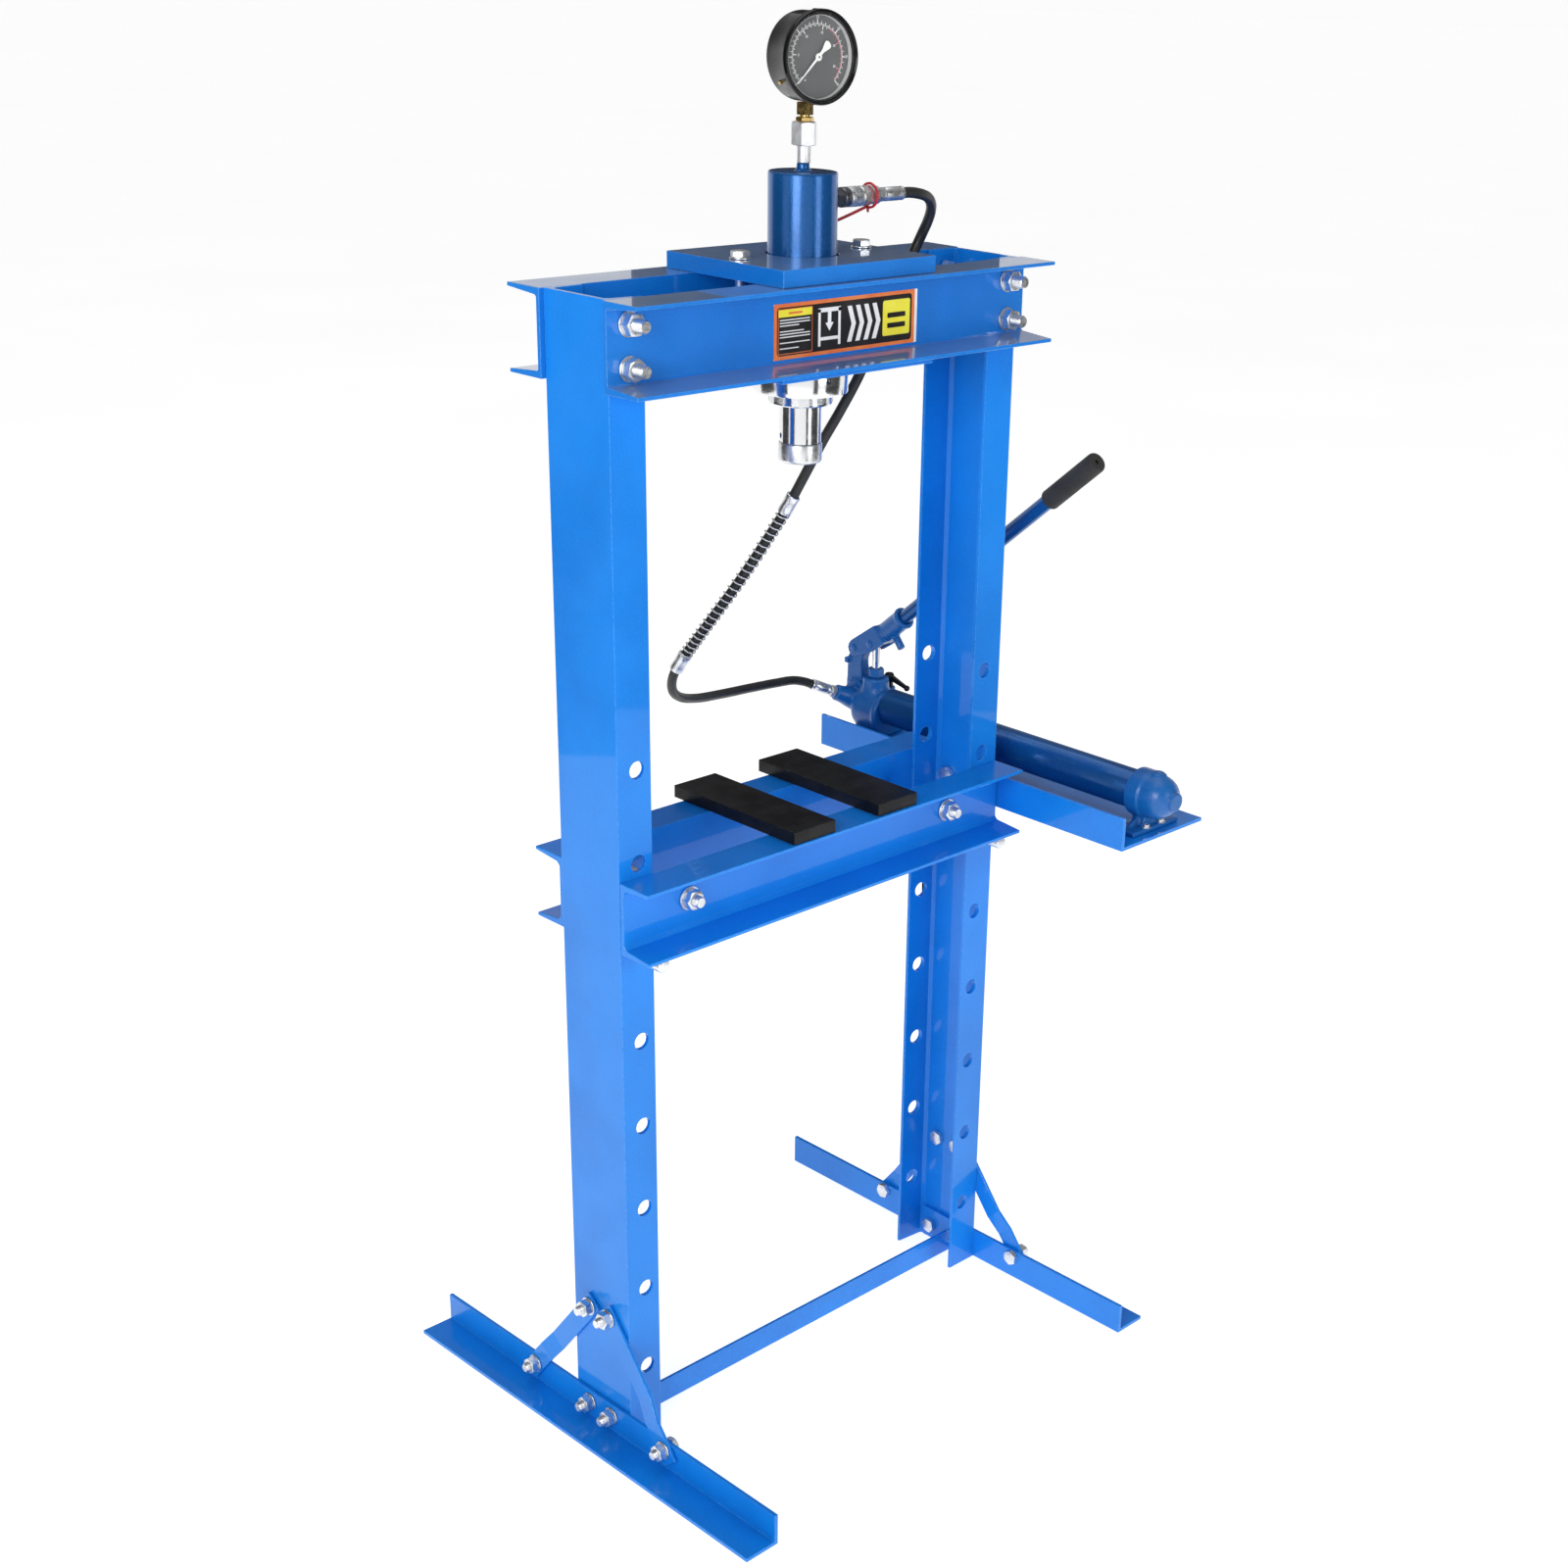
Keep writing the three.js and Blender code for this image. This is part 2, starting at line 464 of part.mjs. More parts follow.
// Part of a longer line, from one share of its length to another.
class Stretch extends THREE.Curve {
  constructor(line, from, to) {
    super();
    Object.assign(this, { line, from, to });
  }
  getPoint(t, target) {
    return this.line.getPointAt(THREE.MathUtils.lerp(this.from, this.to, t), target);
  }
}

function tube(line, steps, radius, bore = 0, sides = 10) {
  const ring = (r) => Array.from({ length: sides }, (_, i) => {
    const turn = (2 * Math.PI * i) / sides;
    return new THREE.Vector2(r * Math.cos(turn), r * Math.sin(turn));
  });
  const shape = new THREE.Shape(ring(radius));
  if (bore) shape.holes.push(new THREE.Path(ring(bore)));
  return solid(new THREE.ExtrudeGeometry(shape, { steps, extrudePath: line, bevelEnabled: false }));
}

add('hose', tube(hoseLine, HOSE_STEPS, HOSE_RADIUS), 'rubber');
const GUARD = { from: 0.43, to: 0.685, radius: 8.8, bore: 7.2, steps: 14 };
add('hose_spring_guard', tube(new Stretch(hoseLine, GUARD.from, GUARD.to), GUARD.steps, GUARD.radius, GUARD.bore), 'zinc');

// The coupler's dust cap hangs behind the cylinder on a strap that is looped round the fitting.
const capZ = UPPER_PLATE + HEAD_PLATE.upper + GAP + 12;
const strapLine = new THREE.CatmullRomCurve3([
  [107, 4, COUPLER_Z - 12.3], [92, 12, COUPLER_Z - 20], [76, 24, COUPLER_Z - 29], [60, 38, COUPLER_Z - 38],
  [44, 49, capZ + 1], [34, 50, capZ],
].map((point) => new THREE.Vector3(...point)));
const strapRing = turned([[11.4, -1.4], [14.2, -1.4], [14.2, 1.4], [11.4, 1.4], [11.4, -1.4]],
  [107, 0, COUPLER_Z], [1, 0, 0], 20);
add('dust_cap_strap', join(tube(strapLine, 10, 1.7, 0, 8), strapRing,
  rod(12, [22, 51, capZ], [38, 51, capZ], 16)), 'red');

// ---------------------------------------------------------------- pump
const bracketInner = HALF_WIDTH + GAP;
const bracketSection = [[0, 0], [BRACKET.reach, 0], [BRACKET.reach, BRACKET.thick],
  [BRACKET.thick, BRACKET.thick], [BRACKET.thick, BRACKET.height], [0, BRACKET.height]];
add('pump_bracket', cut(slab(bracketSection, BRACKET.to - BRACKET.from, [bracketInner, BRACKET.to, BRACKET.bottom],
  [[1, 0, 0], [0, 0, 1], [0, -1, 0]]), ...bracketBoltHoles), 'enamel');
bracketBoltYs.forEach((y, i) => {
  const made = bolt({
    radius: BRACKET_BOLT.radius,
    grip: WEB + GAP + BRACKET.thick,
    tail: 16,
    from: [HALF_WIDTH - WEB, y, BRACKET_BOLT.z],
    direction: [1, 0, 0],
  });
  add(`bracket_bolt_${['front', 'rear'][i]}`, made, 'zinc');
});

const SHELF = BRACKET.bottom + BRACKET.thick + GAP; // what the pump stands on
add('pump_reservoir', rod(TANK.radius, [PUMP_X, TANK.from, TANK.z], [PUMP_X, TANK.to, TANK.z], 24), 'pump_enamel');

const foot = (from, to, half, top) => box([PUMP_X - half, from, SHELF], [PUMP_X + half, to, top]);
add('pump_end_cap', join(
  turned([[0, 0], [30.5, 0], [30.5, 19.5], [28.4, 21], [28, 30], [26.3, 39.6], [21.4, 48], [14.8, 53.7],
    [12, 55.5], [12, 60], [0, 60]], [PUMP_X, TANK.from - GAP, TANK.z], [0, -1, 0], 28),
  foot(-249, -214, 44, SHELF + 6),
  foot(-240, -219, 20, TANK.z)), 'pump_enamel');

// The pump head: the block that the reservoir enters, the barrel for the piston with its gland nut, the
// post that carries the fulcrum, and the outlet boss.
const headTop = 745;
const fulcrumAt = handlePoint(...FULCRUM);
const postShape = [[262, 706], [291, 706], [291, 762], [283, fulcrumAt[2] + 9], [263, fulcrumAt[2] + 9], [259, 768]];
add('pump_head', cut(
  join(
    rod(PUMP_HEAD.radius, [PUMP_X, PUMP_HEAD.from, PUMP_HEAD.z], [PUMP_X, PUMP_HEAD.to, PUMP_HEAD.z], 28),
    rod(PUMP_HEAD.radius + 1.5, [PUMP_X, PUMP_HEAD.from, PUMP_HEAD.z + 2], [PUMP_X, PUMP_HEAD.from + 8, PUMP_HEAD.z + 2], 28),
    rod(18, [PUMP_X, PISTON.y, PUMP_HEAD.z], [PUMP_X, PISTON.y, headTop], 20),
    rod(11, [PUMP_X, PISTON.y, headTop - 1], [PUMP_X, PISTON.y, headTop + 12], 6),
    slab(postShape, 16, [PUMP_X - 8, 0, 0], [[0, 1, 0], [0, 0, 1], [1, 0, 0]]),
    box([PUMP_X - 14, 258, 700], [PUMP_X + 14, 288, 724]),
    rod(11, portAt(-34), portAt(0), 14),
    rod(8.5, [valveX, valveY, PUMP_HEAD.z], [valveX, valveY, valveZ + 9], 14),
    foot(220, 262, 36, SHELF + 8)),
  rod(5.9, [valveX, valveY, valveZ], [valveX, valveY, headTop + 1], 12),
  rod(PISTON.radius + 0.4, [PUMP_X, PISTON.y, PISTON.bottom - 26], [PUMP_X, PISTON.y, headTop + 20], 12),
  rod(5.6, [PUMP_X - 20, fulcrumAt[1], fulcrumAt[2]], [PUMP_X + 20, fulcrumAt[1], fulcrumAt[2]], 14)), 'pump_enamel');

add('pump_piston', rod(PISTON.radius, [PUMP_X, PISTON.y, PISTON.bottom], [PUMP_X, PISTON.y, PISTON.top], 12), 'chrome');

// A point of the handle's own frame, as it lies at rest: along its axis and above it.
function handlePoint(along, above) {
  const tilt = THREE.MathUtils.degToRad(HANDLE_TILT);
  const [x, y, z] = HANDLE_ORIGIN;
  return [x, y - along * Math.cos(tilt) + above * Math.sin(tilt), z + along * Math.sin(tilt) + above * Math.cos(tilt)];
}

// The handle's frame: x along the handle, y square to it and upwards, z towards the press.
const lever = new THREE.Group();
const tilt = THREE.MathUtils.degToRad(HANDLE_TILT);
lever.matrixAutoUpdate = false;
lever.matrix.makeBasis(
  new THREE.Vector3(0, -Math.cos(tilt), Math.sin(tilt)),
  new THREE.Vector3(0, Math.sin(tilt), Math.cos(tilt)),
  new THREE.Vector3(-1, 0, 0)).setPosition(...HANDLE_ORIGIN);
press.add(lever);

const CHEEK = { inside: 11, outside: 16 };
const cheekOutline = [[-5, 3], [-2, 15], [8, 18], [58, 13], [58, -13], [44, -14], [28, -12], [2, -3]];
const cheek = (z) => slab(cheekOutline, CHEEK.outside - CHEEK.inside, [0, 0, z], [[1, 0, 0], [0, 1, 0], [0, 0, 1]]);
const crossPin = ([x, y]) => rod(5, [x, y, -CHEEK.outside - 2], [x, y, CHEEK.outside + 2], 14);
const straight = (radius, from, to, sides) => rod(radius, [from, 0, 0], [to, 0, 0], sides);
add('pump_yoke', cut(
  join(
    cheek(CHEEK.inside), cheek(-CHEEK.outside),
    box([50, -13, -CHEEK.outside], [58, 13, CHEEK.outside]),
    crossPin(FULCRUM), crossPin(WRIST),
    straight(SOCKET.radius, SOCKET.from, SOCKET.to, 20),
    straight(SOCKET.radius + 1.5, SOCKET.to - 4, SOCKET.to, 20)),
  straight(SOCKET.bore, SOCKET.from + 3, SOCKET.to + 1, 20),
  rod(4.4, [72, -5, 0], [72, -SOCKET.radius - 1, 0], 12)), 'pump_enamel', lever);
add('handle_screw', join(
  rod(3.9, [72, -HANDLE.radius - GAP, 0], [72, -SOCKET.radius - 1, 0], 12),
  rod(5.2, [72, -SOCKET.radius - GAP, 0], [72, -SOCKET.radius - 18, 0], 12)), 'pump_enamel', lever);
add('handle_tube', cut(straight(HANDLE.radius, HANDLE.from, HANDLE.to - 6, 20),
  straight(HANDLE.bore, HANDLE.from - 1, HANDLE.to, 16)), 'pump_enamel', lever);
add('handle_grip', cut(straight(HANDLE.gripRadius, HANDLE.grip, HANDLE.to, 20),
  straight(HANDLE.radius + GAP, HANDLE.grip - 1, HANDLE.to - 5.5, 20),
  straight(3, HANDLE.to - 8, HANDLE.to + 1, 12)), 'rubber', lever);

// The release valve: a short stem with a finger lever across its top.
add('release_valve', join(
  rod(5.5, [valveX, valveY, valveZ + GAP], [valveX, valveY, VALVE_LEVER.z + 4.5], 12),
  rod(4, [valveX, valveY, VALVE_LEVER.z],
    [valveX + 1, valveY - VALVE_LEVER.reach, VALVE_LEVER.z - VALVE_LEVER.drop], 12)),
  'black_case');

// ---------------------------------------------------------------- origin
const leftEdge = -(HALF_WIDTH + GAP + FOOT.leg);
const rightEdge = bracketInner + BRACKET.reach;
press.position.x = -(leftEdge + rightEdge) / 2;

const group = new THREE.Group();
group.add(press);
export default group;
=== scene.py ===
"""Looks for the hydraulic shop press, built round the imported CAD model.

Shapes are laid out in millimetres about the middle of the press, as the CAD is, and every piece is
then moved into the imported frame, whose origin is the middle of the footprint.
"""

import random
from math import cos, pi, radians, sin

import bmesh
import bpy
from mathutils import Matrix, Vector


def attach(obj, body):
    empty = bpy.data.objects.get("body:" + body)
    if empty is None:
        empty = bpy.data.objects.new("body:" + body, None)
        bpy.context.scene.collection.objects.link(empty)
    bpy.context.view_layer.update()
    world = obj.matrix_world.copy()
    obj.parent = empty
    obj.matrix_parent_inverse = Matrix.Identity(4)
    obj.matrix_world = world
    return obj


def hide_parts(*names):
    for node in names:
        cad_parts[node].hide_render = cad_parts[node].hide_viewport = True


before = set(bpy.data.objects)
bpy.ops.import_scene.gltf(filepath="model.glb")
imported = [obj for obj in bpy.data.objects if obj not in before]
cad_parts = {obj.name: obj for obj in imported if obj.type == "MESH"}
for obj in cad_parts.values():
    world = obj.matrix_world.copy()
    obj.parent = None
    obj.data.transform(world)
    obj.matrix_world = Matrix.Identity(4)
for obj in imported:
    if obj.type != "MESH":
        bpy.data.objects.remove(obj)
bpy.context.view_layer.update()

MM = 0.001
SHIFT_X = -55.0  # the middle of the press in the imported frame
TO_FRAME = Matrix.Scale(MM, 4) @ Matrix.Translation((SHIFT_X, 0, 0))
X, Y, Z = Vector((1, 0, 0)), Vector((0, 1, 0)), Vector((0, 0, 1))
random.seed(20)


def to_frame(point):
    return TO_FRAME @ Vector(point)


def added(name, data):
    """A new object in the scene."""
    made = bpy.data.objects.new(name, data)
    bpy.context.scene.collection.objects.link(made)
    return made


def level_way(degrees):
    """The level direction at an angle from +X."""
    a = radians(degrees)
    return Vector((cos(a), sin(a), 0))


# ---- camera
CAMERA_AT = (-1.7680, -1.8249, 1.6728)
LENS, SHIFT_ACROSS, SHIFT_UP = 52.08, -0.1012, 0.0502
AZIMUTH, ELEVATION, ROLL = (radians(a) for a in (-47.3, 22.15, 2.09))


def make_camera():
    back = Vector((sin(AZIMUTH) * cos(ELEVATION), -cos(AZIMUTH) * cos(ELEVATION),
                   sin(ELEVATION)))
    level = Z.cross(back).normalized()
    upward = back.cross(level)
    right = level * cos(ROLL) + upward * sin(ROLL)
    up = upward * cos(ROLL) - level * sin(ROLL)
    data = bpy.data.cameras.new("camera")
    data.lens = LENS
    data.shift_x, data.shift_y = SHIFT_ACROSS, SHIFT_UP
    data.clip_start, data.clip_end = 0.05, 60
    camera = added("camera", data)
    camera.matrix_world = Matrix((
        (right.x, up.x, back.x, CAMERA_AT[0]),
        (right.y, up.y, back.y, CAMERA_AT[1]),
        (right.z, up.z, back.z, CAMERA_AT[2]),
        (0, 0, 0, 1),
    ))
    bpy.context.scene.camera = camera


make_camera()


# ---- materials
class Shade:
    """A node material, built up one node at a time."""

    def __init__(self, name):
        self.material = bpy.data.materials.new(name)
        self.material.use_nodes = True
        self.tree = self.material.node_tree
        self.shader = self.tree.nodes["Principled BSDF"]
        self.place = self.node("ShaderNodeTexCoord").outputs["Object"]

    def node(self, kind, inputs=None, **settings):
        made = self.tree.nodes.new(kind)
        for key, value in settings.items():
            setattr(made, key, value)
        for key, value in (inputs or {}).items():
            self.set(made.inputs[key], value)
        return made

    def set(self, socket, value):
        if isinstance(value, bpy.types.NodeSocket):
            self.tree.links.new(value, socket)
        elif isinstance(value, tuple) and len(value) == 3 and socket.type == "RGBA":
            socket.default_value = (*value, 1)
        else:
            socket.default_value = value

    def noise(self, scale, detail=3.0, roughness=0.55, stretch=None):
        """Noise at so many cells per metre; stretch squeezes it along an axis."""
        where = self.place
        if stretch:
            where = self.node("ShaderNodeMapping", {"Vector": where, "Scale": stretch}).outputs[0]
        return self.node("ShaderNodeTexNoise", {
            "Vector": where, "Scale": scale, "Detail": detail, "Roughness": roughness,
        }).outputs["Fac"]

    def spread(self, value, low, high, to_low=0.0, to_high=1.0):
        return self.node("ShaderNodeMapRange", {
            "Value": value, "From Min": low, "From Max": high, "To Min": to_low, "To Max": to_high,
        }, interpolation_type="SMOOTHSTEP").outputs["Result"]

    def sum(self, operation, first, second):
        return self.node("ShaderNodeMath", {0: first, 1: second}, operation=operation).outputs[0]

    def mix(self, amount, first, second):
        made = self.node("ShaderNodeMix", data_type="RGBA")
        self.set(made.inputs["Factor"], amount)
        self.set(made.inputs[6], first)
        self.set(made.inputs[7], second)
        return made.outputs[2]

    def bump(self, height, distance, strength=1.0, under=None):
        inputs = {"Height": height, "Distance": distance, "Strength": strength}
        if under:
            inputs["Normal"] = under
        return self.node("ShaderNodeBump", inputs).outputs[0]

    def edges(self, radius):
        """1 on sharp edges and 0 on flat faces."""
        soft = self.node("ShaderNodeBevel", {"Radius": radius}, samples=4).outputs[0]
        flat = self.node("ShaderNodeNewGeometry").outputs["Normal"]
        turned = self.node("ShaderNodeVectorMath", {0: soft, 1: flat}, operation="DOT_PRODUCT")
        return self.spread(self.sum("SUBTRACT", 1.0, turned.outputs["Value"]), 0.02, 0.2)

    def finish(self, **values):
        for key, value in values.items():
            self.set(self.shader.inputs[key.replace("_", " ")], value)
        return self.material


def enamel(name, deep, bright, edge_highlight, rough=(0.16, 0.3), coat=0.55, coat_rough=0.06, metal=0.0, peel=6e-5,
           sheen=None, cast=0.0, gloss=0.4, sheen_strength=0.3, coat_ior=1.3):
    """Paint on steel: orange peel, a little colour drift, thin edges painted lighter as a painted
    highlight, small specks of that lighter blue and, if sheen is given, a painted sheen on faces that
    point up.
    """
    s = Shade(name)
    drift = s.spread(s.noise(5.0, 4.0), 0.35, 0.65)
    fine = s.spread(s.noise(380.0, 3.0), 0.36, 0.66, 0.0, 0.34)
    colour = s.mix(s.sum("ADD", s.sum("MULTIPLY", drift, 0.7), fine), deep, bright)
    # Painted highlight: thin edges are mixed towards the lighter edge blue, broken up by noise.
    rim = s.edges(0.0022)
    broken = s.spread(s.noise(240.0, 4.0), 0.38, 0.6)
    colour = s.mix(s.sum("MULTIPLY", rim, s.sum("MULTIPLY", broken, 0.6)), colour, edge_highlight)
    # Small specks mixed a little towards the same lighter blue.
    speck = s.spread(s.noise(420.0, 2.0), 0.735, 0.76)
    colour = s.mix(s.sum("MULTIPLY", speck, 0.35), colour, edge_highlight)
    # Painted sheen: faces that point up are mixed, in patches, towards the grey-silver sheen colour, a
    # painted reflection.
    if sheen:
        normal = s.node("ShaderNodeNewGeometry").outputs["Normal"]
        up = s.node("ShaderNodeSeparateXYZ", {0: normal}).outputs[2]
        cloudy = s.spread(s.noise(9.0, 5.0), 0.3, 0.62, 0.55 * sheen_strength, sheen_strength)
        colour = s.mix(s.sum("MULTIPLY", s.spread(up, 0.75, 0.98), cloudy), colour, sheen)
    roughness = s.spread(s.noise(14.0, 5.0), 0.35, 0.7, *rough)
    ripple = s.bump(s.noise(330.0, 2.0), peel, 0.8)
    wave = s.bump(s.noise(24.0, 2.0), 0.0006, 0.35, ripple)
    if cast:
        wave = s.bump(s.noise(520.0, 5.0, 0.65), cast, 0.9, wave)
    return s.finish(Base_Color=colour, Roughness=roughness, Normal=wave, Metallic=metal, Coat_Weight=coat,
                    Coat_Roughness=coat_rough, Coat_IOR=coat_ior, Specular_IOR_Level=gloss)


def metal(name, light, dark, rough=(0.16, 0.34), scratch=(1.0, 1.0, 1.0), scratch_scale=260.0, tint=None,
          stain=0.35):
    """Bare or plated metal: fine scratches, a mottled plating and dull patches."""
    s = Shade(name)
    mottle = s.spread(s.noise(90.0, 5.0), 0.32, 0.68)
    colour = s.mix(s.sum("MULTIPLY", mottle, stain), light, dark)
    if tint:
        colour = s.mix(s.spread(s.noise(45.0, 2.0), 0.5, 0.75, 0.0, 0.5), colour, tint)
    lines = s.noise(scratch_scale, 4.0, 0.6, stretch=scratch)
    roughness = s.sum("ADD", s.spread(lines, 0.3, 0.7, *rough), s.spread(mottle, 0.2, 0.9, 0.0, 0.06))
    return s.finish(Base_Color=colour, Metallic=1.0, Roughness=roughness,
                    Normal=s.bump(lines, 2.5e-5, 0.7))


def plain(name, light, dark, rough, grain=700.0, depth=3e-5, coat=0.0, worn=None, gloss=0.5):
    """Moulded or painted surface with a fine grain; worn is the colour of rubbed edges."""
    s = Shade(name)
    cloud = s.spread(s.noise(28.0, 4.0), 0.35, 0.68)
    colour = s.mix(cloud, light, dark)
    if worn:
        rim = s.sum("MULTIPLY", s.edges(0.0016), s.spread(s.noise(300.0, 5.0), 0.47, 0.6))
        colour = s.mix(rim, colour, worn)
    roughness = s.spread(s.noise(40.0, 4.0), 0.35, 0.7, *rough)
    return s.finish(Base_Color=colour, Roughness=roughness,
                    Normal=s.bump(s.noise(grain, 3.0), depth, 0.8), Coat_Weight=coat, Coat_Roughness=0.1,
                    Specular_IOR_Level=gloss)


def ink(name, light, dark, rough=(0.4, 0.5), grain=1500.0):
    """Printed colour, almost without grain."""
    return plain(name, light, dark, rough, grain=grain, depth=1e-5)


def lens_glass():
    s = Shade("lens_glass")
    smear = s.spread(s.noise(60.0, 4.0), 0.4, 0.7, 0.02, 0.07)
    return s.finish(Base_Color=(0.95, 0.97, 0.98), Roughness=smear, Alpha=0.02, Coat_Weight=0.0,
                    Coat_Roughness=0.03)


ENAMEL = enamel("enamel", (0.003, 0.175, 0.64), (0.006, 0.235, 0.80), (0.14, 0.42, 0.92), coat=1.0,
                gloss=0.15, rough=(0.3, 0.45), coat_rough=0.035, peel=1.5e-4)
# The head's enamel: a little darker, with a stronger coat and a painted grey-silver sheen on faces that
# point up.
HEAD_ENAMEL_PAINTED_SHEEN = enamel("head_enamel_painted_sheen", (0.003, 0.16, 0.58), (0.006, 0.21, 0.72), (0.14, 0.42, 0.92),
        coat=1.0, gloss=0.2, rough=(0.3, 0.45), coat_rough=0.03, coat_ior=1.6, sheen=(0.30, 0.36, 0.42),
        sheen_strength=0.6, peel=1.2e-4)
PUMP_PAINT = enamel("pump_enamel_smooth", (0.003, 0.075, 0.27), (0.006, 0.115, 0.37), (0.04, 0.2, 0.5),
        rough=(0.2, 0.34), metal=0.45, coat=0.6, coat_rough=0.1, peel=1.2e-4)
CASTING = enamel("pump_enamel_cast", (0.004, 0.10, 0.36), (0.008, 0.15, 0.48), (0.05, 0.24, 0.6),
        rough=(0.28, 0.42), coat=0.5, coat_rough=0.16, cast=2.6e-4)
ZINC = metal("zinc", (0.84, 0.85, 0.86), (0.62, 0.64, 0.67), rough=(0.24, 0.42), tint=(0.76, 0.74, 0.66))
CHROME_TURNED = metal("chrome_turned", (0.86, 0.87, 0.88), (0.72, 0.73, 0.75), rough=(0.07, 0.16),
        scratch=(0.12, 0.12, 14.0), scratch_scale=120.0, stain=0.15)
SATIN = metal("satin_steel", (0.82, 0.83, 0.84), (0.62, 0.64, 0.66), rough=(0.24, 0.38), stain=0.3)
BRIGHT = metal("bright_nickel", (0.97, 0.97, 0.98), (0.86, 0.87, 0.88), rough=(0.42, 0.58), stain=0.3)
BRASS = metal("brass", (0.80, 0.56, 0.20), (0.60, 0.40, 0.13), rough=(0.16, 0.3), tint=(0.62, 0.48, 0.28))
DARK_STEEL = metal("dark_steel", (0.20, 0.20, 0.22), (0.10, 0.10, 0.12), rough=(0.25, 0.4))
RUBBER = plain("rubber", (0.018, 0.018, 0.019), (0.010, 0.010, 0.011), (0.34, 0.5), grain=900.0,
               depth=8e-5)
GRIP = plain("grip_rubber", (0.017, 0.017, 0.017), (0.030, 0.029, 0.028), (0.62, 0.82), grain=1100.0,
             depth=2.4e-4)
BLACK_PAINT = plain("black_paint", (0.005, 0.005, 0.0055), (0.010, 0.010, 0.011), (0.3, 0.48),
        grain=480.0, depth=1.2e-4, worn=(0.10, 0.10, 0.10), gloss=0.25)
CASE = plain("case_black", (0.003, 0.003, 0.003), (0.006, 0.006, 0.006), (0.16, 0.3), grain=500.0,
             depth=4e-5, coat=0.2, gloss=0.3)
DIAL = ink("dial_grey", (0.075, 0.077, 0.08), (0.092, 0.094, 0.097), (0.5, 0.65))
RECESS = plain("recess_grey", (0.50, 0.51, 0.51), (0.58, 0.59, 0.59), (0.4, 0.55))
WHITE = ink("white_ink", (0.82, 0.82, 0.80), (0.90, 0.90, 0.88))
PINK = ink("pink_ink", (0.62, 0.17, 0.22), (0.70, 0.24, 0.28))
RED = plain("red_strap", (0.46, 0.008, 0.016), (0.62, 0.014, 0.026), (0.3, 0.45), grain=600.0, depth=4e-5,
            coat=0.2)
ORANGE = ink("label_orange", (0.80, 0.16, 0.035), (0.88, 0.24, 0.06), (0.3, 0.42), grain=1300.0)
YELLOW = ink("label_yellow", (0.86, 0.76, 0.03), (0.93, 0.84, 0.06), (0.3, 0.42), grain=1300.0)
LABEL_BLACK = ink("label_black", (0.012, 0.011, 0.011), (0.022, 0.02, 0.02), (0.28, 0.4), grain=1300.0)
GLASS = lens_glass()


# ---- mesh code
def around(side, other, a):
    """The way out at an angle round a circle that two directions span."""
    return side * cos(a) + other * sin(a)


def band(near, far, steps):
    """The faces between two rings of corners, given where each ring starts."""
    faces = []
    for i in range(steps):
        j = (i + 1) % steps
        faces.append([near + i, near + j, far + j, far + i])
    return faces


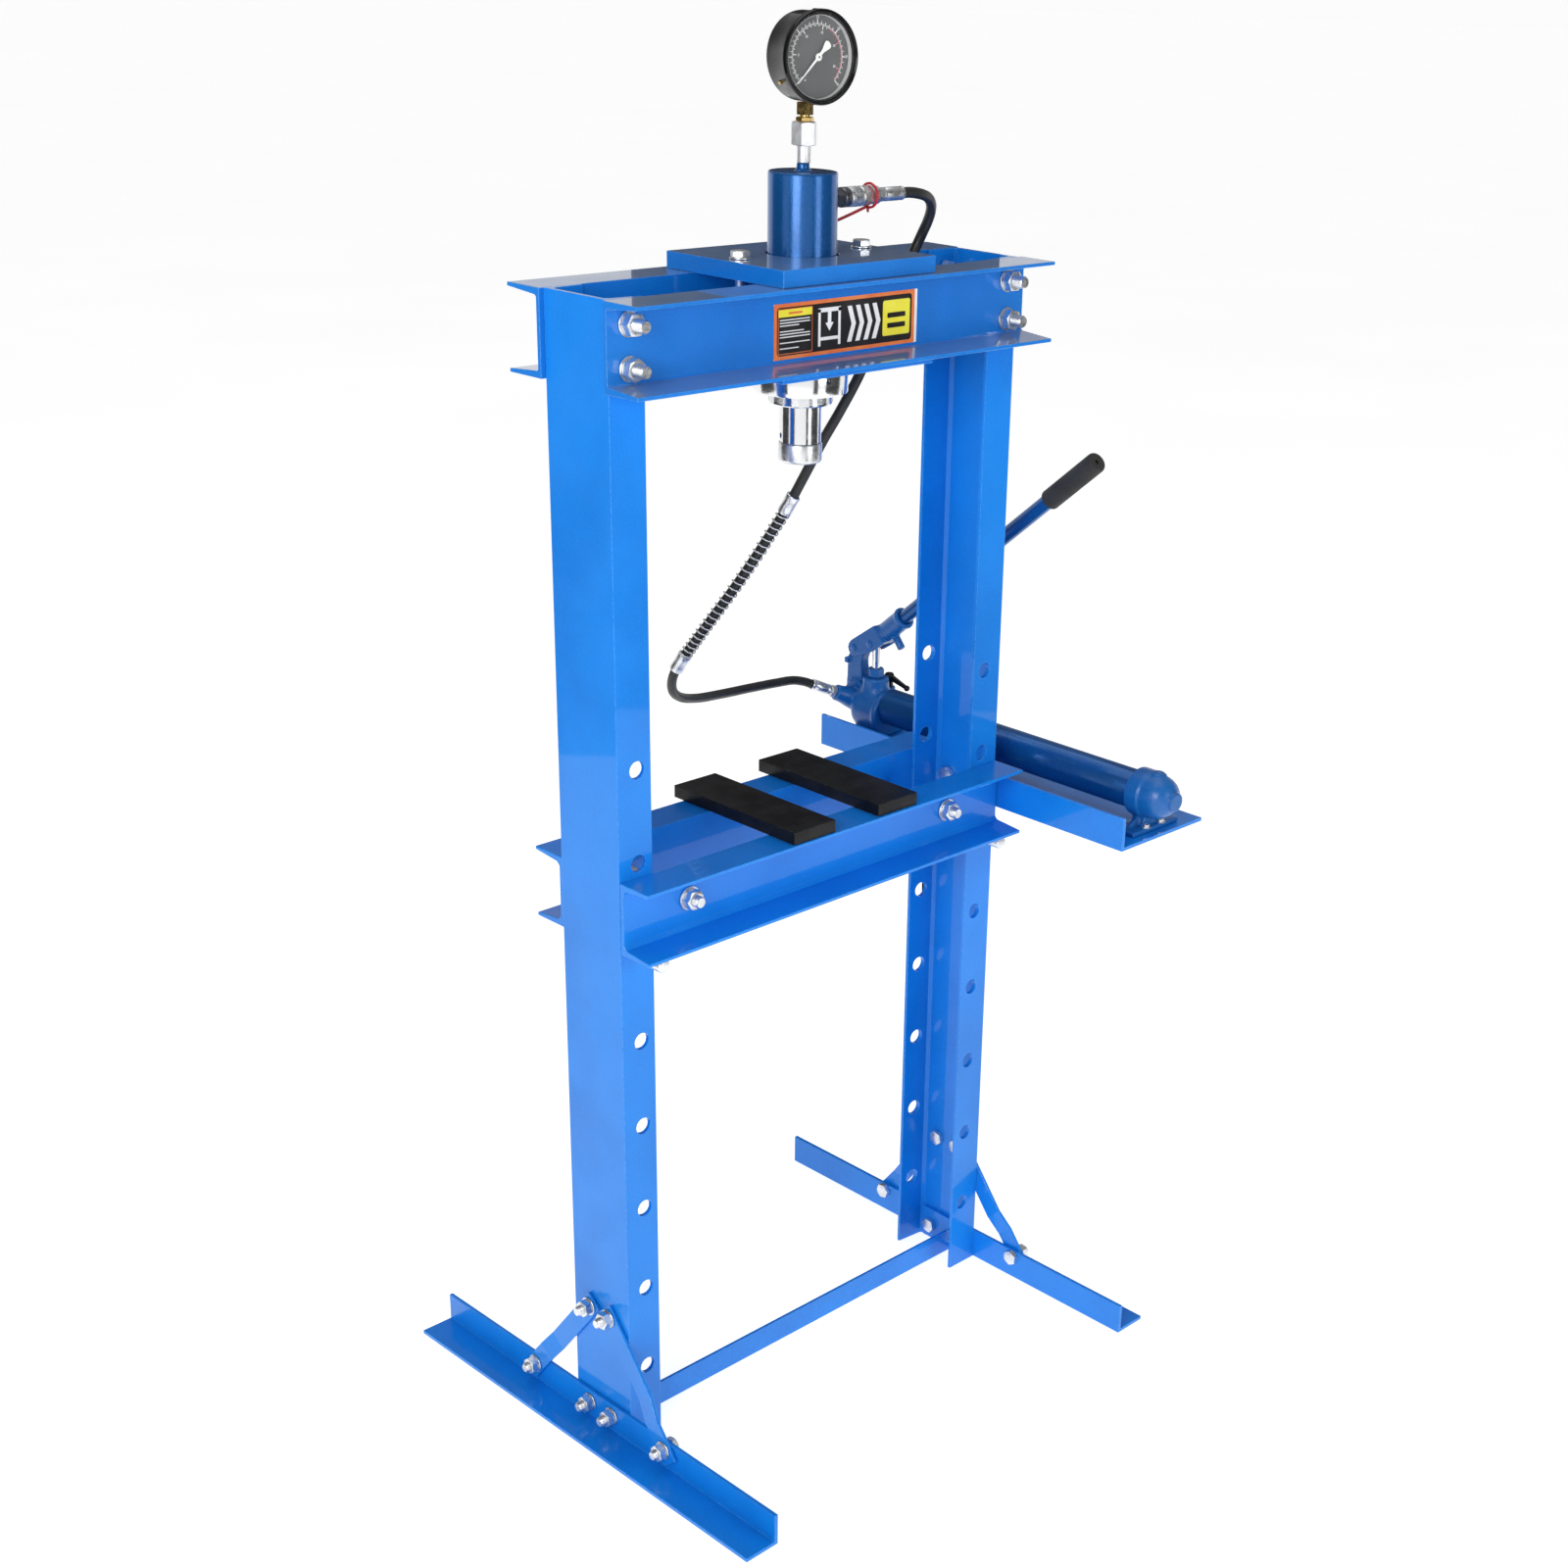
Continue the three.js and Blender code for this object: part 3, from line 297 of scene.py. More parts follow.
class Shape:
    """A mesh built up in millimetres about the middle of the press."""

    def __init__(self, place=None):
        self.bm = bmesh.new()
        self.place = place or Matrix.Identity(4)
        self.material = 0

    def faces(self, corners, faces):
        verts = [self.bm.verts.new(c) for c in corners]
        for face in faces:
            made = self.bm.faces.new([verts[i] for i in face])
            made.material_index = self.material
        return self

    def lathe(self, outline, origin, direction, steps=64, wobble=None):
        """Turns [radius, distance] points about an axis. A radius of 0 is a pole."""
        axis = Vector(direction).normalized()
        side = axis.orthogonal().normalized()
        other = axis.cross(side)
        rings, corners, faces = [], [], []
        for radius, along in outline:
            middle = Vector(origin) + axis * along
            if radius < 1e-6:
                rings.append([len(corners)])
                corners.append(middle)
                continue
            ring = []
            for i in range(steps):
                a = 2 * pi * i / steps
                r = radius * (wobble(a, along) if wobble else 1)
                ring.append(len(corners))
                corners.append(middle + around(side, other, a) * r)
            rings.append(ring)
        for near, far in zip(rings, rings[1:]):
            if len(near) == 1 and len(far) == 1:
                continue
            for i in range(steps):
                j = (i + 1) % steps
                if len(near) == 1:
                    faces.append([near[0], far[j], far[i]])
                elif len(far) == 1:
                    faces.append([near[i], near[j], far[0]])
                else:
                    faces.append([near[i], near[j], far[j], far[i]])
        return self.faces(corners, faces)

    def solid(self, outline, origin, direction, steps=64):
        """Turns an outline about an axis, with both its ends closed at the axis."""
        outline = [(0, outline[0][1]), *outline, (0, outline[-1][1])]
        return self.lathe(outline, origin, direction, steps)

    def block(self, low, high):
        (x0, y0, z0), (x1, y1, z1) = low, high
        corners = [(x, y, z) for z in (z0, z1) for y in (y0, y1) for x in (x0, x1)]
        return self.faces(corners, [(0, 2, 3, 1), (4, 5, 7, 6), (0, 1, 5, 4), (2, 6, 7, 3), (0, 4, 6, 2),
                (1, 3, 7, 5)])

    def slab(self, outline, thick, origin, along_x, along_y, along_z):
        """An outline in a plane, made thick."""
        o, ax, ay, az = (Vector(v) for v in (origin, along_x, along_y, along_z))
        count = len(outline)
        corners = [o + ax * x + ay * y + az * t for t in (0, thick) for x, y in outline]
        faces = [list(range(count))[::-1], list(range(count, 2 * count))]
        faces += [[i, (i + 1) % count, count + (i + 1) % count, count + i] for i in range(count)]
        return self.faces(corners, faces)

    def hexagon(self, inside, bore, length, origin, direction, spin=0.0, open_end=True):
        """A nut or a bolt head with chamfered corners: inside is half its width across the flats."""
        axis = Vector(direction).normalized()
        side = Matrix.Rotation(spin, 3, axis) @ axis.orthogonal().normalized()
        other = axis.cross(side)
        per_side, corners, faces = 8, [], []
        steps = 6 * per_side
        rim = inside * 0.955

        def ring(radius_at, along_at):
            start = len(corners)
            for i in range(steps):
                a = 2 * pi * i / steps
                out = around(side, other, a)
                corners.append(Vector(origin) + axis * along_at(a) + out * radius_at(a))
            return start

        def flat(a):
            return inside / cos((a + pi / 6) % (pi / 3) - pi / 6)

        def drop(a):
            return (flat(a) - rim) * 0.5

        rings = []
        if open_end:
            rings += [ring(lambda a: bore * 0.98, lambda a: 0.9),
                      ring(lambda a: bore * 1.12, lambda a: 0.0)]
        else:
            rings += [ring(lambda a: 0.05, lambda a: 0.0), ring(lambda a: rim * 0.7, lambda a: 0.0)]
        rings += [
            ring(lambda a: rim, lambda a: 0.0),
            ring(flat, drop),
            ring(flat, lambda a: length - drop(a)),
            ring(lambda a: rim, lambda a: length),
            ring(lambda a: bore * 0.98, lambda a: length),
        ]
        for near, far in zip(rings, rings[1:]):
            faces += band(near, far, steps)
        return self.faces(corners, faces)

    def thread(self, radius, start, end, origin, direction, pitch, depth):
        """A threaded length with a chamfered end."""
        chamfer = 1.2
        outline = [(0, start)]
        count = max(1, round((end - chamfer - start) / pitch))
        pitch = (end - chamfer - start) / count
        for i in range(count):
            at = start + i * pitch
            outline += [(radius - depth, at), (radius, at + 0.42 * pitch), (radius, at + 0.58 * pitch)]
        outline += [(radius - depth, end - chamfer), (radius - chamfer * 0.9 - 0.2, end), (0, end)]
        return self.lathe(outline, origin, direction, 32)

    def along(self, points, radius, steps=12, closed=False):
        """A round tube swept along a line of points."""
        points = [Vector(p) for p in points]
        count = len(points)
        rings, corners, faces = [], [], []
        side = None
        for i, point in enumerate(points):
            before = points[i - 1] if i or closed else points[0]
            after = points[(i + 1) % count] if i + 1 < count or closed else points[-1]
            way = (after - before).normalized()
            side = way.orthogonal() if side is None else side - way * side.dot(way)
            side = side.normalized()
            other = way.cross(side)
            r = radius(i / (count - 1)) if callable(radius) else radius
            rings.append(len(corners))
            corners += [point + around(side, other, 2 * pi * k / steps) * r for k in range(steps)]
        pairs = list(zip(rings, rings[1:])) + ([(rings[-1], rings[0])] if closed else [])
        for near, far in pairs:
            faces += band(near, far, steps)
        if not closed:
            faces.append([rings[0] + k for k in range(steps)][::-1])
            faces.append([rings[-1] + k for k in range(steps)])
        return self.faces(corners, faces)

    def to_object(self, name, materials, smooth=35, bevel=0.0, bevel_angle=30, segments=2):
        bmesh.ops.remove_doubles(self.bm, verts=self.bm.verts, dist=1e-4)
        bmesh.ops.recalc_face_normals(self.bm, faces=self.bm.faces)
        if bevel:
            sharp = [e for e in self.bm.edges if len(e.link_faces) == 2
                     and e.calc_face_angle(0) > radians(bevel_angle)]
            bmesh.ops.bevel(self.bm, geom=sharp, offset=bevel, segments=segments, profile=0.7,
                            affect="EDGES", clamp_overlap=True)
        self.bm.transform(TO_FRAME @ self.place)
        mesh = bpy.data.meshes.new(name)
        self.bm.to_mesh(mesh)
        self.bm.free()
        for material in materials if isinstance(materials, (list, tuple)) else [materials]:
            mesh.materials.append(material)
        mesh.shade_smooth()
        mesh.set_sharp_from_angle(angle=radians(smooth))
        return added(name, mesh)


def rigged(made, body, nodes=()):
    """Makes an object ride on a body and stand for the given CAD nodes."""
    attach(made, body)
    if nodes:
        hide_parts(*nodes)
    return made


def piece(shape, name, body, materials, slot, nodes=(), **options):
    """Turns a shape into a piece that rides on a body and stands for the given CAD nodes."""
    return rigged(shape.to_object(name, materials, **options), body, nodes)


def baked_down(made):
    """Applies an object's modifiers to its mesh."""
    graph = bpy.context.evaluated_depsgraph_get()
    mesh = bpy.data.meshes.new_from_object(made.evaluated_get(graph), depsgraph=graph)
    old = made.data
    made.modifiers.clear()
    made.data = mesh
    bpy.data.meshes.remove(old)
    return made


def cut_from(made, tool):
    """Cuts a tool shape out of an object."""
    cutter = tool.to_object(made.name + "_tool", list(made.data.materials))
    hole = made.modifiers.new("hole", "BOOLEAN")
    hole.operation, hole.object, hole.solver = "DIFFERENCE", cutter, "EXACT"
    baked_down(made)
    bpy.data.objects.remove(cutter)
    made.data.set_sharp_from_angle(angle=radians(35))


def casting(shape, name, body, material, nodes, voxel=1.1, rounds=5, cutters=None):
    """Melts a shape's overlapping solids into one rounded casting, then cuts its bores."""
    made = shape.to_object(name, material)
    melt = made.modifiers.new("melt", "REMESH")
    melt.mode, melt.voxel_size = "VOXEL", voxel * MM
    soften = made.modifiers.new("soften", "SMOOTH")
    soften.factor, soften.iterations = 0.5, rounds
    baked_down(made)
    if cutters:
        cut_from(made, cutters)
    made.data.materials.clear()
    made.data.materials.append(material)
    made.data.shade_smooth()
    made.data.set_sharp_from_angle(angle=radians(40))
    return rigged(made, body, nodes)


# ---- the hose, which comes first
HOSE_POINTS = [(157.6, 0, 1410), (170, 0, 1410), (187.2, 1, 1407.6), (204.1, 5.3, 1403.1),
               (216, 10.8, 1396.1), (224.7, 18.1, 1387.1), (230.2, 27.2, 1374.4), (230.3, 36.6, 1357.7),
               (221.6, 42.5, 1334.2), (194, 41, 1294), (168, 43, 1250), (141, 46, 1202), (123, 56, 1164),
               (112, 74, 1126), (105, 95, 1085), (96, 115, 1044), (86, 133, 1010), (73, 150, 975),
               (58, 169, 938), (42, 189, 901), (28, 208, 867), (19, 225, 839), (19, 238, 816),
               (29, 249, 796), (50, 259, 781), (84, 269, 770), (137, 281, 761.5), (194, 289.5, 755.5),
               (244, 294, 751), (280, 297, 746.5),]
PORT_TIP = Vector((340, 280, 722))
PORT_WAY = Vector((-0.87, 0.29, 0.4)).normalized()
HOSE_POINTS += [tuple(PORT_TIP + PORT_WAY * along) for along in (48, 38.3)]
HOSE_RADIUS = 6.0


def blend(first, last, at, start, end):
    """The point between two points that stand at start and end."""
    return first * ((end - at) / (end - start)) + last * ((at - start) / (end - start))


def smooth_line(points, between):
    """The centripetal Catmull-Rom curve that the CAD's hose follows, as even points, and its length."""
    p = [Vector(q) for q in points]
    p = [p[0] * 2 - p[1], *p, p[-1] * 2 - p[-2]]
    dense = []
    for i in range(1, len(p) - 2):
        steps = 24
        t = [0.0]
        for a, b in zip(p[i - 1:i + 2], p[i:i + 3]):
            t.append(t[-1] + max((b - a).length, 1e-4) ** 0.5)
        for k in range(steps):
            at = t[1] + (t[2] - t[1]) * k / steps
            near = [blend(p[i - 1 + j], p[i + j], at, t[j], t[j + 1]) for j in range(3)]
            mid = [blend(near[j], near[j + 1], at, t[j], t[j + 2]) for j in range(2)]
            dense.append(blend(*mid, at, t[1], t[2]))
    dense.append(p[-2])
    reach = [0.0]
    for a, b in zip(dense, dense[1:]):
        reach.append(reach[-1] + (b - a).length)
    count = max(2, round(reach[-1] / between))
    even, k = [], 0
    for i in range(count + 1):
        want = reach[-1] * i / count
        while k < len(reach) - 2 and reach[k + 1] < want:
            k += 1
        share = (want - reach[k]) / max(reach[k + 1] - reach[k], 1e-9)
        even.append(dense[k].lerp(dense[k + 1], min(1.0, share)))
    return even, reach[-1]


hose_line, hose_length = smooth_line(HOSE_POINTS, 3.0)


def hose_at(share):
    """A point of the hose and the way it runs there, at a share of its length."""
    at = share * (len(hose_line) - 1)
    i = min(int(at), len(hose_line) - 2)
    return hose_line[i].lerp(hose_line[i + 1], at - i), (hose_line[i + 1] - hose_line[i]).normalized()


def make_hose():
    data = bpy.data.curves.new("hose_line", "CURVE")
    data.dimensions = "3D"
    data.bevel_depth = HOSE_RADIUS * MM
    data.bevel_resolution = 6
    data.use_fill_caps = True
    spline = data.splines.new("POLY")
    spline.points.add(len(hose_line) - 1)
    for point, at in zip(spline.points, hose_line):
        point.co = (*to_frame(at), 1)
    spline.use_smooth = True
    data.materials.append(RUBBER)
    return rigged(added("rubber_hose", data), "frame", ["hose"])


GUARD_FROM, GUARD_TO = 0.43, 0.685
SLEEVE = 26.0 / hose_length
GUARD_TURNS = 27
GUARD_RADIUS = 7.75
WIRE = 0.95


def make_guard():
    """The wire spring on the hose, whose turns close up towards the bend, with a sleeve at each end."""
    points, side = [], None
    start, end = GUARD_FROM + SLEEVE * 0.8, GUARD_TO - SLEEVE * 0.8
    count = GUARD_TURNS * 18
    for i in range(count + 1):
        t = i / count
        closer = 0.055 * sin(pi * t) * (1.6 * t - 0.2)
        middle, way = hose_at(start + (end - start) * (t + closer))
        side = way.orthogonal() if side is None else side - way * side.dot(way)
        side = side.normalized()
        other = way.cross(side)
        a = 2 * pi * GUARD_TURNS * t
        points.append(middle + around(side, other, a) * GUARD_RADIUS)
    spring = piece(Shape().along(points, WIRE, 8), "hose_spring", "frame", SATIN, "zinc",
                   ["hose_spring_guard"], smooth=80)
    sleeves = Shape()
    for at, sign in ((GUARD_FROM, 1), (GUARD_TO, -1)):
        middle, way = hose_at(at)
        further, _ = hose_at(at + sign * SLEEVE)
        way = (further - middle).normalized()
        long = (further - middle).length
        sleeves.lathe([(6.3, 0.4), (7.6, 0), (8.5, 0.6), (8.8, 1.6), (8.8, long * 0.3),
                       (8.62, long * 0.34), (8.62, long * 0.66), (8.8, long * 0.7), (8.8, long - 1.6),
                       (8.5, long - 0.6), (7.6, long), (6.3, long - 0.4), (6.3, 0.4)], middle, way, 40)
    ends = piece(sleeves, "hose_spring_sleeves", "frame", SATIN, "zinc")
    return [spring, ends]


COUPLER_Z = 1410.0
COUPLER_AT = (0, 0, COUPLER_Z)


def make_upper_fitting():
    s = Shape()
    s.lathe([(5, 75), (6.9, 75.2), (6.9, 93)], COUPLER_AT, X, 32)
    s.hexagon(9.4, 6, 14, (93.6, 0, COUPLER_Z), X, 0.3, open_end=False)
    s.lathe([(0, 106), (9.4, 106), (9.6, 107), (9.6, 108), (8.2, 109), (8.2, 112)], COUPLER_AT, X, 40)
    s.hexagon(8.6, 6, 9.5, (110, 0, COUPLER_Z), X, 0.1, open_end=False)
    s.lathe([(0, 118), (6.8, 118), (7.5, 119), (7.6, 120.5), (7.6, 126), (7.15, 127), (7.15, 129),
             (7.6, 130), (7.6, 151), (7.3, 152), (7.3, 153.5), (7.6, 154.5), (7.6, 156.6), (7.1, 157.3),
             (6.1, 157.3), (6.1, 150)], COUPLER_AT, X, 40)
    return piece(s, "hose_fitting_top", "frame", SATIN, "zinc", ["hose_fitting_upper"])


def make_lower_fitting():
    s = Shape()
    s.hexagon(7.6, 5, 6.4, PORT_TIP + PORT_WAY * 0.4, PORT_WAY, 0.2, open_end=False)
    s.lathe([(0, 6), (5.6, 6), (5.6, 9), (6.6, 9), (7.4, 10), (7.6, 11), (7.6, 13), (7.2, 13.8),
             (7.2, 15), (7.6, 15.8), (7.6, 33), (7.25, 33.7), (7.25, 35), (7.6, 35.7), (7.6, 37.4),
             (7.1, 38), (6.1, 38), (6.1, 32)], PORT_TIP, PORT_WAY, 40)
    return piece(s, "hose_fitting_bottom", "frame", SATIN, "zinc", ["hose_fitting_lower"])


hose = make_hose()
guard = make_guard()
fittings = [make_upper_fitting(), make_lower_fitting()]


# ---- the steelwork keeps its CAD shapes
STEELWORK = ["left_upright", "right_upright", "head_beam_front", "head_beam_rear", "bed_channel_front",
             "bed_channel_rear", "left_foot", "right_foot", "base_strut", "pump_bracket",
             "head_plate_upper", "head_plate_lower"]
STEELWORK += [f"{hand}_{end}_brace" for hand in ("left", "right") for end in ("front", "rear")]


def dress(node, material):
    """Gives a CAD node its material and softens its edges, without changing its mesh."""
    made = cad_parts[node]
    made.data.materials.clear()
    made.data.materials.append(material)
    weld = made.modifiers.new("weld", "WELD")
    weld.merge_threshold = 2e-5
    flat = made.modifiers.new("flat", "DECIMATE")
    flat.decimate_type, flat.angle_limit = "DISSOLVE", radians(1)
    edge_highlight = made.modifiers.new("edge_highlight", "BEVEL")
    edge_highlight.width, edge_highlight.segments, edge_highlight.limit_method = 1.1 * MM, 3, "ANGLE"
    edge_highlight.angle_limit, edge_highlight.use_clamp_overlap, edge_highlight.profile = radians(24), True, 0.7


for node in STEELWORK:
    dress(node, HEAD_ENAMEL_PAINTED_SHEEN if node.startswith("head_") else ENAMEL)


# ---- fasteners
GAP = 0.3
HALF_WIDTH, HALF_DEPTH, WEB, FLANGE_ROOT = 300.0, 50.0, 5.0, 7.5
FRAME_HEIGHT = 1337.0


def washer(s, radius, thick, bore, origin, way):
    rim = min(0.4, thick * 0.3)
    s.lathe([(bore, 0), (radius - rim, 0), (radius, rim), (radius, thick - rim), (radius - rim, thick),
             (bore, thick), (bore, 0)], origin, way, 40)


def bolt(s, radius, grip, tail, origin, way, head_washer=False):
    """A hex bolt through a grip, with its washer, nut and the threaded end past it."""
    way = Vector(way)
    start = Vector(origin)
    thick = radius * 0.28
    inside = radius * 1.516
    head = GAP + (thick if head_washer else 0)
    spin = random.uniform(0, pi)
    s.hexagon(inside, radius * 0.9, radius * 1.1, start - way * head, -way, spin, open_end=False)
    s.lathe([(0, -head - radius * 1.1 - 0.35), (radius * 1.1, -head - radius * 1.1 - 0.25),
             (radius * 1.25, -head - radius * 1.1 + 0.2), (0, -head - radius)], start, way, 32)
    if head_washer:
        washer(s, radius * 1.9, thick, radius, start - way * head, way)
    washer(s, radius * 1.9, thick, radius * 0.9, start + way * (grip + GAP), way)
    s.hexagon(inside, radius, radius * 1.6, start + way * (grip + GAP + thick), way,
              random.uniform(0, pi))
    s.solid([(radius * 0.93, -head - 1), (radius * 0.93, grip)], start, way, 24)
    s.thread(radius, grip - 0.5, grip + tail, start, way, pitch=radius * 0.25, depth=radius * 0.11)


def make_fasteners():
    for hand, sign in (("left", -1), ("right", 1)):
        for end, side in (("front", -1), ("rear", 1)):
            for level, height in (("lower", 1269), ("upper", 1313)):
                s = Shape()
                bolt(s, 7.0, FLANGE_ROOT + GAP + WEB, 83 - HALF_DEPTH - GAP - WEB,
                     (sign * 278, side * (HALF_DEPTH - FLANGE_ROOT), height), (0, side, 0))
                name = f"head_bolt_{hand}_{end}_{level}"
                piece(s, name + "_set", "frame", ZINC, "zinc", [name])
        s = Shape()
        x, height, half = sign * 207, 681, 76
        for side in (-1, 1):
            face = HALF_DEPTH + GAP + WEB
            washer(s, 14, 2.2, 7, (x, side * (face + GAP), height), (0, side, 0))
            s.hexagon(10.6, 7, 10.5, (x, side * (face + 2.5), height), (0, side, 0),
                      random.uniform(0, pi))
            s.thread(7, face + 1, half, (x, 0, height), (0, side, 0), pitch=1.75, depth=0.8)
            s.thread(7, 0, face + 1, (x, 0, height), (0, side, 0), pitch=1.75, depth=0.8)
        piece(s, f"bed_tie_{hand}", "bed", ZINC, "zinc", [f"bed_bolt_{hand}"])

        length = 184
        pin = Shape().solid([(5.8, 0), (6.5, 0.25), (7.8, 1.7), (8, 2.3), (8, length - 2.3),
                (7.8, length - 1.7), (6.5, length - 0.25), (5.8, length)], (sign * 273, 92, 629.5),
                (0, -1, 0), 48)
        piece(pin, f"bed_pin_{hand}_rod", f"pin_{hand}", ZINC, "zinc", [f"bed_pin_{hand}"])

        outward = (sign, 0, 0)
        foot_face = HALF_WIDTH + GAP + WEB
        s = Shape()
        for y in (-20.5, 20.5):
            inner = HALF_WIDTH - WEB - GAP - 6
            bolt(s, 6.0, foot_face - inner, 19.5, (sign * inner, y, 24), outward)
        piece(s, f"{hand}_strut_bolts", "frame", ZINC, "zinc")
        for end, side in (("front", -1), ("rear", 1)):
            s = Shape()
            bolt(s, 6.0, 9.9, 19.0, (sign * (HALF_WIDTH - WEB), side * 18, 160), outward)
            bolt(s, 6.0, 9.7, 17.0, (sign * (HALF_WIDTH + GAP), side * 121, 31), outward)
            piece(s, f"{hand}_{end}_brace_bolts", "frame", ZINC, "zinc")

    lower = FRAME_HEIGHT - 90.7 - GAP - 6
    upper = FRAME_HEIGHT + GAP + 18
    for hand, sign in (("left", -1), ("right", 1)):
        s = Shape()
        bolt(s, 6.0, upper - lower, 18, (7 + sign * 89, 0, upper), (0, 0, -1), head_washer=True)
        piece(s, f"head_plate_bolt_{hand}_set", "frame", ZINC, "zinc", [f"head_plate_bolt_{hand}"])
    for end, y in (("front", -24), ("rear", 24)):
        s = Shape()
        bolt(s, 6.0, WEB + GAP + 4.5, 16, (HALF_WIDTH - WEB, y, 685), (1, 0, 0))
        piece(s, f"bracket_bolt_{end}_set", "frame", ZINC, "zinc", [f"bracket_bolt_{end}"])


make_fasteners()


# ---- press plates
def make_press_plates():
    top = 737.3
    for hand, (x, y), dimple in (("left", (-53, 9), (-70, -77.6)), ("right", (82, 10), (66.5, -78.2))):
        s = Shape().block((x - 32, y - 104, top - 15), (x + 32, y + 104, top))
        made = s.to_object(f"press_plate_{hand}_block", BLACK_PAINT, bevel=0.9, segments=3)
        cut_from(made, Shape().lathe([(0, -2.0), (2.2, 0.0), (2.7, 0.4), (0, 0.4)], (*dimple, top), Z,
                28))
        rigged(made, f"plate_{hand}", [f"press_plate_{hand}"])


make_press_plates()


# ---- cylinder and ram
HEAD_AT = (7, 0, 0)
RING_AT = Vector((7, 0, 1226))


def make_cylinder():
    barrel = Shape().lathe([(30.5, 1216.3), (37.5, 1216.3), (37.5, 1437.4), (37.2, 1438.8),
            (36.4, 1439.7), (35.2, 1440), (10.5, 1440), (8.8, 1440.7), (7.6, 1442.2), (7.1, 1444),
            (7, 1447), (6.4, 1448), (0, 1448), (0, 1420), (30.5, 1420), (30.5, 1216.3)], HEAD_AT, Z, 96)
    piece(barrel, "cylinder_barrel", "frame", PUMP_PAINT, "pump_enamel", ["cylinder_body"])
    outline = [(23.4, 1195.6), (24, 1195), (33.8, 1195), (35.2, 1196.4), (35.2, 1198)]
    for i in range(7):
        at = 1198 + i * 1.4
        outline += [(34.9, at + 0.2), (35.7, at + 0.7), (34.9, at + 1.2)]
    outline += [(35.4, 1208), (35.4, 1216), (23.4, 1216), (23.4, 1195.6)]
    piece(Shape().lathe(outline, HEAD_AT, Z, 96), "cylinder_gland", "frame", CHROME_TURNED, "chrome")

    ring = Shape().lathe([(38, 1208), (49.6, 1208), (51.4, 1208.6), (52, 1210), (52, 1238.4),
            (51.4, 1239.7), (38, 1239.7), (38, 1208)], HEAD_AT, Z,
            96).to_object("lock_ring_turned", CHROME_TURNED)
    screws = Shape()
    for degrees in (-98, 22, 142):
        way = level_way(degrees)
        cut_from(ring, Shape().solid([(3.1, 0), (3.1, 8)], RING_AT + way * 46, way, 28))
        screws.solid([(1.4, 1.2), (1.4, 4.2), (2.5, 4.8), (2.9, 4.2), (2.9, 0)], RING_AT + way * 46.2,
                     way, 24)
    rigged(ring, "frame", ["cylinder_lock_ring"])
    piece(screws, "lock_ring_screws", "frame", DARK_STEEL, "zinc")

    ram = Shape().solid([(22.2, 1152), (23, 1152.8), (23, 1394), (30, 1394), (30, 1414)], HEAD_AT, Z,
            96).to_object("ram_rod", CHROME_TURNED)
    way = level_way(-205)
    cut_from(ram, Shape().solid([(3.1, 0), (3.1, 11.3), (3.9, 12.4), (3.9, 14)],
            Vector((7, 0, 1160)) + way * 11, way, 32))
    rigged(ram, "ram", ["ram"])
    tip = Shape().solid([(20.5, 1130), (22.6, 1130.5), (24.0, 1132), (24.3, 1134), (24.3, 1150.4),
            (23.6, 1151.7)], HEAD_AT, Z, 96)
    piece(tip, "ram_tip_turned", "ram", SATIN, "chrome", ["ram_tip"])


make_cylinder()


# ---- gauge
GAUGE_PLACE = Matrix.Translation((10, 0, 1555)) @ Matrix.Rotation(radians(-6), 4, "Z")
DIAL_FACE = 18.6


def dial_axes(degrees):
    """The way out from the middle of the dial at an angle from twelve o'clock, and the way round."""
    a = radians(degrees)
    return Vector((sin(a), 0, cos(a))), Vector((cos(a), 0, -sin(a)))


def tick(s, degrees, inner, outer, width):
    out, round_ = dial_axes(degrees)
    s.slab([(inner, -width / 2), (outer, -width / 2), (outer, width / 2), (inner, width / 2)], 0.12,
           (0, -DIAL_FACE, 0), out, round_, (0, -1, 0))


def arc(s, start, end, inner, outer):
    steps = max(4, round((end - start) / 3))
    ways = [dial_axes(start + (end - start) * i / steps)[0] for i in range(steps + 1)]
    outline = [way * outer for way in ways] + [way * inner for way in reversed(ways)]
    s.slab([(p.x, p.z) for p in outline], 0.1, (0, -DIAL_FACE, 0), X, Z, (0, -1, 0))


def number(bm, text, degrees, radius, size):
    data = bpy.data.curves.new("digit", "FONT")
    data.body, data.size, data.extrude = text, size, 0.05
    data.align_x, data.align_y = "CENTER", "CENTER"
    made = added("digit", data)
    bpy.context.view_layer.update()
    mesh = bpy.data.meshes.new_from_object(made.evaluated_get(bpy.context.evaluated_depsgraph_get()))
    out, _ = dial_axes(degrees)
    at = out * radius + Vector((0, -DIAL_FACE - 0.05, 0))
    mesh.transform(Matrix.Translation(at) @ Matrix.Rotation(pi / 2, 4, "X"))
    bm.from_mesh(mesh)
    bpy.data.objects.remove(made)


FULL_SWEEP = 270.0
OUTER_STEP, INNER_STEP = 45.0, 49.6


